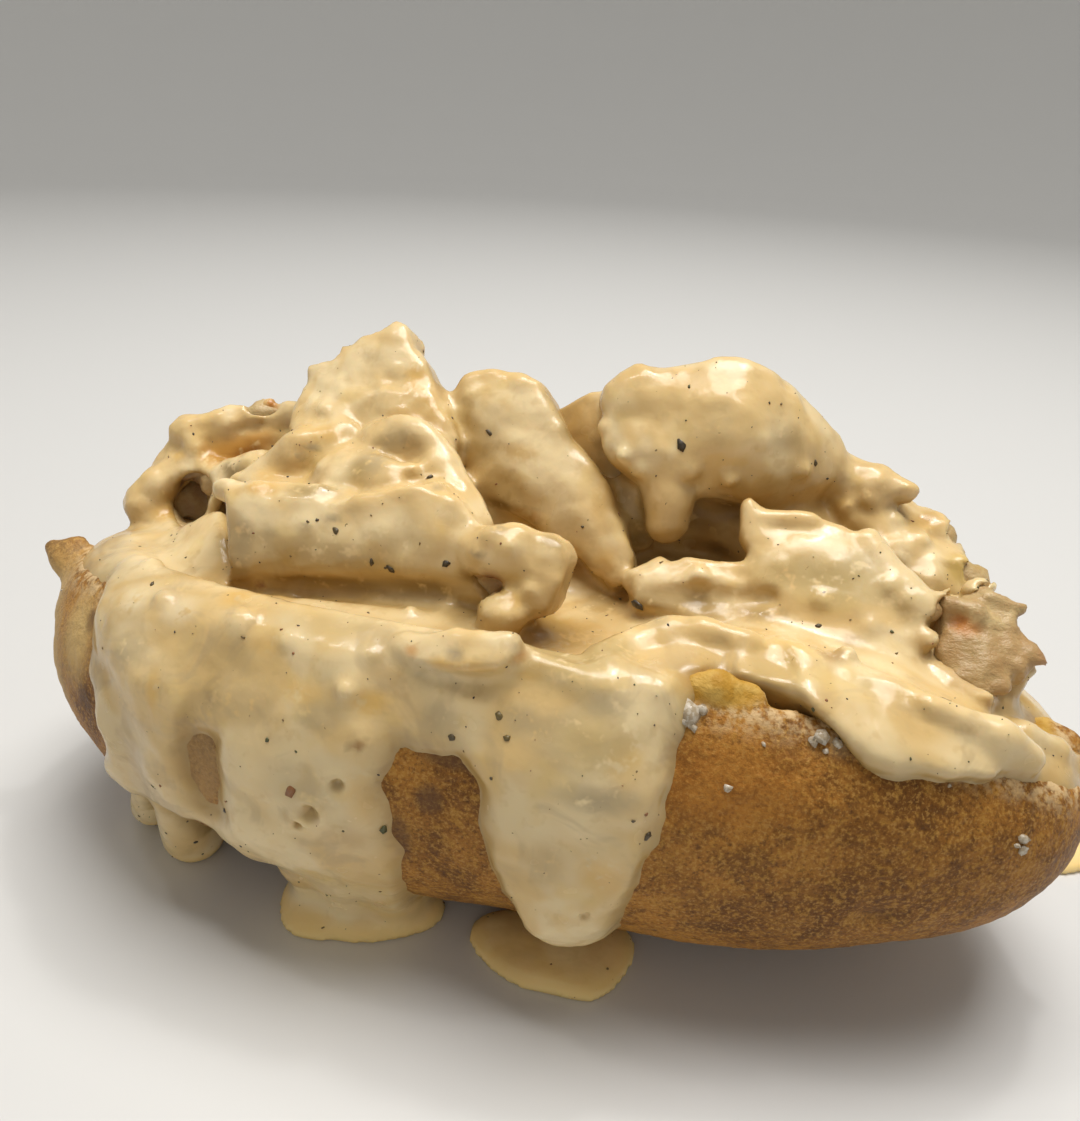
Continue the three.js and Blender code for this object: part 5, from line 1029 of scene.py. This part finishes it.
def sauce_material():
    m = Mat("cream")
    big = m.noise(13, 2, 0.55, 0.8); mid = m.noise(4.5, 2, 0.55, off=2.0)
    c = m.mix(m.ramp(big, 0.40, 0.62), (0.80, 0.575, 0.262), (0.90, 0.725, 0.42))
    thin = m.attr("thin_skin")
    c = m.mix(m.math("MULTIPLY", m.ramp(m.noise(6, 2, 0.5, off=2.5), 0.55, 0.68), 0.40), c, (0.84, 0.60, 0.22))
    c = m.mix(m.math("MULTIPLY", m.ramp(m.noise(8.5, 3, 0.62, 1.0, off=9.0), 0.50, 0.64), m.math("ADD", m.math("MULTIPLY", thin, 0.7), 0.16)), c, (0.52, 0.40, 0.24))
    c = m.mix(m.math("MULTIPLY", m.ramp(m.noise(2.3, 2, 0.6, off=6.0), 0.56, 0.72), 0.28), c, (0.62, 0.42, 0.18))
    # the sauce thins over meat and over skin
    c = m.mix(m.math("MULTIPLY", m.attr("thin_meat"), 0.30), c, (0.76, 0.52, 0.25))
    c = m.mix(m.math("MULTIPLY", m.attr("thin_skin"), 0.72), c, m.mix(m.ramp(m.noise(7, 2, 0.6, off=14.0), 0.42, 0.62), (0.415, 0.245, 0.065), (0.375, 0.245, 0.085)))
    c = m.mix(m.math("MULTIPLY", m.attr("low"), 0.85), c, (1.0, 0.71, 0.28))
    # the spot tints: the sauce's marbling and painted shade in creases, hollows and shaded slopes
    c = m.mix(m.math("MULTIPLY", m.attr("tinted"), m.ramp(m.noise(1.8, 2, 0.6, off=17.0), 0.28, 0.46)), c, m.node("ShaderNodeAttribute", attribute_name="tint").outputs["Color"])
    # painted shade: the sauce colour is multiplied darker where the point is shut in
    dk = m.node("ShaderNodeMix", data_type="RGBA", blend_type="MULTIPLY"); m.link(m.ramp(m.attr("painted_crease_shade"), 0.06, 0.85, False), dk.inputs[0])
    m.link(c, dk.inputs[6]); dk.inputs[7].default_value = (0.64, 0.56, 0.40, 1); c = dk.outputs[2]
    # pepper dust and shreds of herb
    for mm, cut, col, amt, off in ((2.3, 0.095, (0.16, 0.105, 0.04), 0.85, 0.0), (1.5, 0.085, (0.34, 0.21, 0.08), 0.6, 4.0)):
        v = m.voro(mm, "F1", 1.0, dist=m.noise(mm * 0.5, 1, 0.5, off=off))
        size = m.math("MULTIPLY", m.ramp(v.outputs["Color"], 0.15, 0.95, False), cut)
        dot = m.ramp(m.math("SUBTRACT", size, v.outputs["Distance"]), 0.0, 0.03)
        c = m.mix(m.math("MULTIPLY", dot, amt), c, col)
    m.link(c, m.b.inputs["Base Color"])
    r = m.math("ADD", m.math("MULTIPLY", mid, 0.27), 0.09)
    m.link(r, m.b.inputs["Roughness"])
    m.b.inputs["Specular IOR Level"].default_value = 0.42
    m.b.inputs["Subsurface Weight"].default_value = 0.18
    m.b.inputs["Subsurface Radius"].default_value = (1.0, 0.62, 0.28); m.b.inputs["Subsurface Scale"].default_value = 0.0019
    m.bump([(m.noise(4.0, 2, 0.5, off=2.0), 0.13), (m.noise(1.7, 2, 0.5, off=11.0), 0.05)])
    return m.m


def meat_material():
    m = Mat("cooked_chicken")
    big = m.noise(6, 3, 0.6, 0.5); fib = m.noise(0.8, 4, 0.6, 0.2, stretch=(0.5, 1, 1)); fine = m.noise(0.6, 3, 0.65)
    c = m.mix(m.ramp(big, 0.35, 0.65), (0.61, 0.45, 0.215), (0.47, 0.315, 0.135))
    c = m.mix(m.math("MULTIPLY", m.ramp(fib, 0.46, 0.66), 0.4), c, (0.42, 0.25, 0.10))
    br = m.math("MULTIPLY", m.attr("brown"), m.ramp(m.noise(5.5, 3, 0.6, off=3.0), 0.40, 0.58))
    c = m.mix(m.math("MULTIPLY", br, 0.6), c, (0.43, 0.24, 0.09))
    # colour spots on the chunks: browned and dark meat, and painted shade. The orange over the back-left flat chunk is
    # browned at its top and painted shade in its undercut. The near black in the left-end hollow and the dark brown in
    # the small front chunk's cavity are painted shade
    for p, r, col, a in (((51.3, -11.5, 46.5), (2.6, 3, 2.0), (0.62, 0.22, 0.04), 0.75), ((57.6, -8.5, 47), (2.2, 3, 1.8), (0.22, 0.085, 0.03), 0.8), ((60, -13, 44.6), (1.8, 2.4, 1.6), (0.40, 0.20, 0.09), 0.6),
                         ((-50, 9, 49.6), (9, 6, 5.6), (0.80, 0.44, 0.07), 0.95), ((-42.6, 11, 57), (2.6, 3, 1.6), (0.52, 0.20, 0.04), 0.8), ((-55, 3.6, 44.6), (4.6, 5, 4.4), (0.15, 0.07, 0.03), 0.9),
                         ((55.4, 6, 46), (3, 3, 3), (0.50, 0.34, 0.09), 0.7), ((-1, -18.4, 47.6), (2.4, 2.6, 1.9), (0.24, 0.10, 0.04), 0.7)):
        c = m.mix(m.math("MULTIPLY", m.spot(p, r, 0.35), a), c, col)
    m.link(c, m.b.inputs["Base Color"])
    m.link(m.math("ADD", m.math("MULTIPLY", fine, 0.3), 0.26), m.b.inputs["Roughness"])
    m.b.inputs["Subsurface Weight"].default_value = 0.08
    m.b.inputs["Subsurface Radius"].default_value = (1.0, 0.45, 0.2); m.b.inputs["Subsurface Scale"].default_value = 0.0018
    m.bump([(fib, 0.22), (fine, 0.10)])
    return m.m


skin_m, sauce_m, meat_m = skin_material(), sauce_material(), meat_material()
for node, o in pieces.items():
    o.data.materials.append(skin_m if node == "potato" else sauce_m if node == "sauce" else meat_m)
    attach(o, "root"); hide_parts(node)
tris = sum(len(p.vertices) - 2 for p in sauce.data.polygons)
d = sauce.modifiers.new("thin_out", "DECIMATE"); d.ratio = min(1.0, 195000 / max(tris, 1))
log("sauce tris", tris)

# ------------------------------------------------------------------ flecks, salt
rng = np.random.default_rng(41)


def ico(sub=1):
    bm = bmesh.new(); bmesh.ops.create_icosphere(bm, subdivisions=sub, radius=1.0)
    V = np.array([v.co[:] for v in bm.verts]); Fc = np.array([[v.index for v in f.verts] for f in bm.faces]); bm.free()
    return V, Fc


def surface(o):
    me = o.data; co = np.empty(len(me.vertices) * 3, F32); me.vertices.foreach_get("co", co)
    return co.reshape(-1, 3) * 1000.0 - SHIFT


SV = surface(sauce); SN = np.empty(len(sauce.data.vertices) * 3, F32); sauce.data.vertices.foreach_get("normal", SN); SN = SN.reshape(-1, 3)
PV = surface(potato); PN = np.empty(len(potato.data.vertices) * 3, F32); potato.data.vertices.foreach_get("normal", PN); PN = PN.reshape(-1, 3)
shows = (sample(POTATO, SV) > 0.5) & (sample(MEAT, SV) > 0.0) & (SV[:, 2] > 0.8)
sidx = np.nonzero(shows)[0]


def scatter(name, items, material, subd=1):
    V, Fc = ico(subd); VV = []; FF = []; TONE = []
    for i, (p, n, size, flat, tone) in enumerate(items):
        n = n / (np.linalg.norm(n) + 1e-9)
        t = np.cross(n, rng.normal(size=3)); t /= np.linalg.norm(t) + 1e-9; b = np.cross(n, t)
        w = V * (1 + 0.42 * rng.uniform(-1, 1, (len(V), 1)))
        q = p + (w[:, :1] * t * size[0] + w[:, 1:2] * b * size[1] + w[:, 2:3] * n * flat)
        VV.append(q); FF.append(Fc + len(V) * i); TONE.append(np.full(len(V), tone))
    P = np.concatenate(VV); Q = np.concatenate(FF)
    o = to_object(name, P, Q, {"tone": np.concatenate(TONE)})
    o.data.materials.append(material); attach(o, "root")
    return o


def nearest(V, p):
    return int(np.argmin(((V - np.array(p)) ** 2).sum(1)))


# the larger flecks that stand out, then a seeded scatter
BIG = [((15.7, 1.6, 60.2), 0.85, 0.5, 0.0), ((-15.0, -8.0, 55.5), 0.55, 0.4, 0.1), ((12.5, -12.5, 43.6), 0.95, 0.7, 0.0), ((34.6, -14.5, 45.3), 0.5, 0.35, 0.1), ((-6.6, -30, 43.8), 0.8, 0.5, 0.0),
       ((16.4, -6.6, 46.8), 0.7, 0.3, 0.4), ((-24.6, -16.5, 50.6), 0.7, 0.45, 0.2), ((-19.5, -18, 48), 0.6, 0.3, 0.1), ((-17.5, -18.6, 47.2), 0.6, 0.35, 0.1), ((-31.5, -36, 22), 0.55, 0.45, 0.0),
       ((1.0, -35.5, 41.0), 0.6, 0.45, 0.5), ((2.5, -35.5, 38.5), 0.45, 0.5, 0.5), ((-9.5, 5, 57.5), 0.55, 0.35, 0.1), ((-45.5, -24, 43.5), 0.6, 0.3, 0.2), ((16.5, -36.5, 31), 0.7, 0.35, 0.1), ((-12, -37.5, 25), 0.6, 0.4, 0.4),
       ((-35.5, -21.5, 43.8), 1.0, 0.7, 0.9), ((-22, -36, 29), 0.9, 0.6, 0.8), ((47, -25, 42), 0.8, 0.5, 0.6), ((-10, -19, 49.2), 0.5, 0.4, 0.0), ((31, 8, 58), 0.5, 0.3, 0.2), ((-4, -36, 38), 0.5, 0.4, 0.2)]
items = []
for p, a, b, tone in BIG:
    j = sidx[nearest(SV[sidx], p)]
    items.append((SV[j], SN[j], (a, b), 0.22, tone))
count = 900
pick = rng.choice(sidx, count, replace=False)
for j in pick:
    s = 0.08 + 0.24 * rng.random() ** 3.4
    items.append((SV[j], SN[j], (s, s * rng.uniform(0.45, 1.0)), 0.09 + 0.1 * s, float(rng.choice([0.0, 0.15, 0.4, 0.55, 0.8], p=[0.14, 0.26, 0.26, 0.22, 0.12]))))


def fleck_material():
    m = Mat("pepper_and_herbs")
    t = m.attr("tone")
    n = m.node("ShaderNodeValToRGB"); m.link(t, n.inputs[0]); e = n.color_ramp.elements
    e[0].position = 0.0; e[0].color = (0.045, 0.034, 0.020, 1)
    e[1].position = 1.0; e[1].color = (0.30, 0.075, 0.02, 1)
    for pos, col in ((0.18, (0.09, 0.062, 0.025, 1)), (0.42, (0.075, 0.085, 0.022, 1)), (0.6, (0.26, 0.15, 0.05, 1))):
        x = e.new(pos); x.color = col
    c = m.mix(m.ramp(m.noise(0.35, 2, 0.6), 0.4, 0.65), n.outputs[0], (0.20, 0.15, 0.09))
    c2 = m.mix(0.75, c, n.outputs[0]); m.link(c2, m.b.inputs["Base Color"])
    m.b.inputs["Roughness"].default_value = 0.42
    m.bump([(m.noise(0.3, 2, 0.6), 0.05)])
    return m.m


scatter("pepper_flecks", items, fleck_material(), 1)


def salt_material():
    m = Mat("salt")
    c = m.mix(m.ramp(m.noise(0.5, 2, 0.5), 0.4, 0.6), (0.70, 0.62, 0.49), (0.50, 0.40, 0.27)); m.link(c, m.b.inputs["Base Color"])
    m.b.inputs["Roughness"].default_value = 0.18; m.b.inputs["Transmission Weight"].default_value = 0.2; m.b.inputs["IOR"].default_value = 1.5
    m.bump([(m.noise(0.4, 2, 0.6), 0.06)])
    return m.m


salt = []
for p, s in (((34.5, -30.8, 41.1), 1.4), ((35.8, -30.7, 40.7), 1.1), ((33.4, -30.8, 41.0), 1.0), ((34.9, -31.3, 39.7), 0.6), ((25.3, -35.1, 36.2), 0.85), ((56.9, -29.9, 31.2), 1.15), ((57.3, -30.2, 30.2), 0.8),
             ((56.4, -30.4, 30.6), 0.6), ((20.5, -31.7, 42.1), 1.9), ((21.4, -31.3, 42.9), 1.2), ((19.6, -32.3, 41.4), 1.2), ((20.9, -32.4, 41.0), 0.9), ((28.5, -33.0, 41.0), 0.45), ((48, -30, 37), 0.4), ((-66, -15, 36), 0.4), ((8, 36, 30), 0.6), ((-22, 36, 32), 0.7)):
    j = nearest(PV, p)
    salt.append((PV[j] + PN[j] * s * 0.05, PN[j], (s * 0.72, s * 0.62), s * 0.55, 0.0))
scatter("salt_crystals", salt, salt_material(), 1)
log("flecks")

# ------------------------------------------------------------------ stage, camera, light
bm = bmesh.new()
prof = [(0.0, 0.0), (0.35, 0.0), (0.9, 0.0)] + [(0.9 + 0.45 * math.sin(a), 0.45 - 0.45 * math.cos(a)) for a in [math.pi / 2 * i / 10 for i in range(1, 11)]] + [(1.36, 0.85)]
seg = 64; rings = []
for r, z in prof:
    rings.append([bm.verts.new((r * math.cos(2 * math.pi * i / seg), r * math.sin(2 * math.pi * i / seg), z)) for i in range(seg)] if r > 0 else [bm.verts.new((0, 0, 0))])
for a, b in zip(rings[:-1], rings[1:]):
    for i in range(seg):
        j = (i + 1) % seg
        bm.faces.new((a[0], b[i], b[j]) if len(a) == 1 else (a[i], b[i], b[j], a[j]))
me = bpy.data.meshes.new("floor"); bm.to_mesh(me); bm.free()
for p in me.polygons:
    p.use_smooth = True
floor = bpy.data.objects.new("floor", me); bpy.context.collection.objects.link(floor)
fm = Mat("pale_floor"); fm.b.inputs["Base Color"].default_value = (0.70, 0.70, 0.69, 1); fm.b.inputs["Roughness"].default_value = 0.45
floor.data.materials.append(fm.m)

S = Vector(SHIFT * 0.001)
cam = bpy.data.cameras.new("camera"); cob = bpy.data.objects.new("camera", cam); bpy.context.collection.objects.link(cob)
bpy.context.scene.camera = cob
RT, UP, FW = (0.98129184, 0.18593189, 0.04995658), (-0.12708261, 0.43062531, 0.89353895), (-0.14462481, 0.88317109, -0.44619781)
R = Matrix([[RT[i], UP[i], -FW[i]] for i in range(3)]).to_4x4()
cob.matrix_world = Matrix.Translation(Vector((0.0173670, -0.1163877, 0.1007720)) + S) @ R
cam.sensor_fit = "VERTICAL"; cam.sensor_height = 36.0; cam.sensor_width = 36.0 * 1080 / 1121; cam.lens = 950.0 / 1121.0 * 36.0
cam.clip_start = 0.005; cam.clip_end = 20.0


def area(name, loc, size, power, target=(0, 0, 0.03), shape="DISK", col=(1, 1, 1), glossy=True):
    l = bpy.data.lights.new(name, "AREA"); l.energy = power; l.shape = shape; l.size = size; l.color = col
    o = bpy.data.objects.new(name, l); o.location = loc; bpy.context.collection.objects.link(o)
    o.rotation_euler = (Vector(target) - Vector(loc)).to_track_quat("-Z", "Y").to_euler()
    o.visible_glossy = glossy
    return o


# one broad overhead light for the form, two small ones for the wet glints
area("key", (0.05, 0.12, 0.83), 0.50, 6.7, shape="SQUARE", col=(1.0, 0.975, 0.94))
area("lamp", (0.10, 0.26, 0.85), 0.07, 0.8, col=(1.0, 0.98, 0.95))
area("lamp_left", (-0.35, 0.02, 0.80), 0.07, 0.4, col=(1.0, 0.98, 0.95))
area("front", (0.10, -0.7, 0.36), 0.6, 0.33, shape="SQUARE", col=(1.0, 0.99, 0.97), glossy=False)
w = bpy.data.worlds.new("world"); bpy.context.scene.world = w; w.use_nodes = True
w.node_tree.nodes["Background"].inputs[0].default_value = (1.0, 0.965, 0.90, 1); w.node_tree.nodes["Background"].inputs[1].default_value = 0.235
bpy.context.scene.view_settings.view_transform = "Standard"

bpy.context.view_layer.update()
log("done")
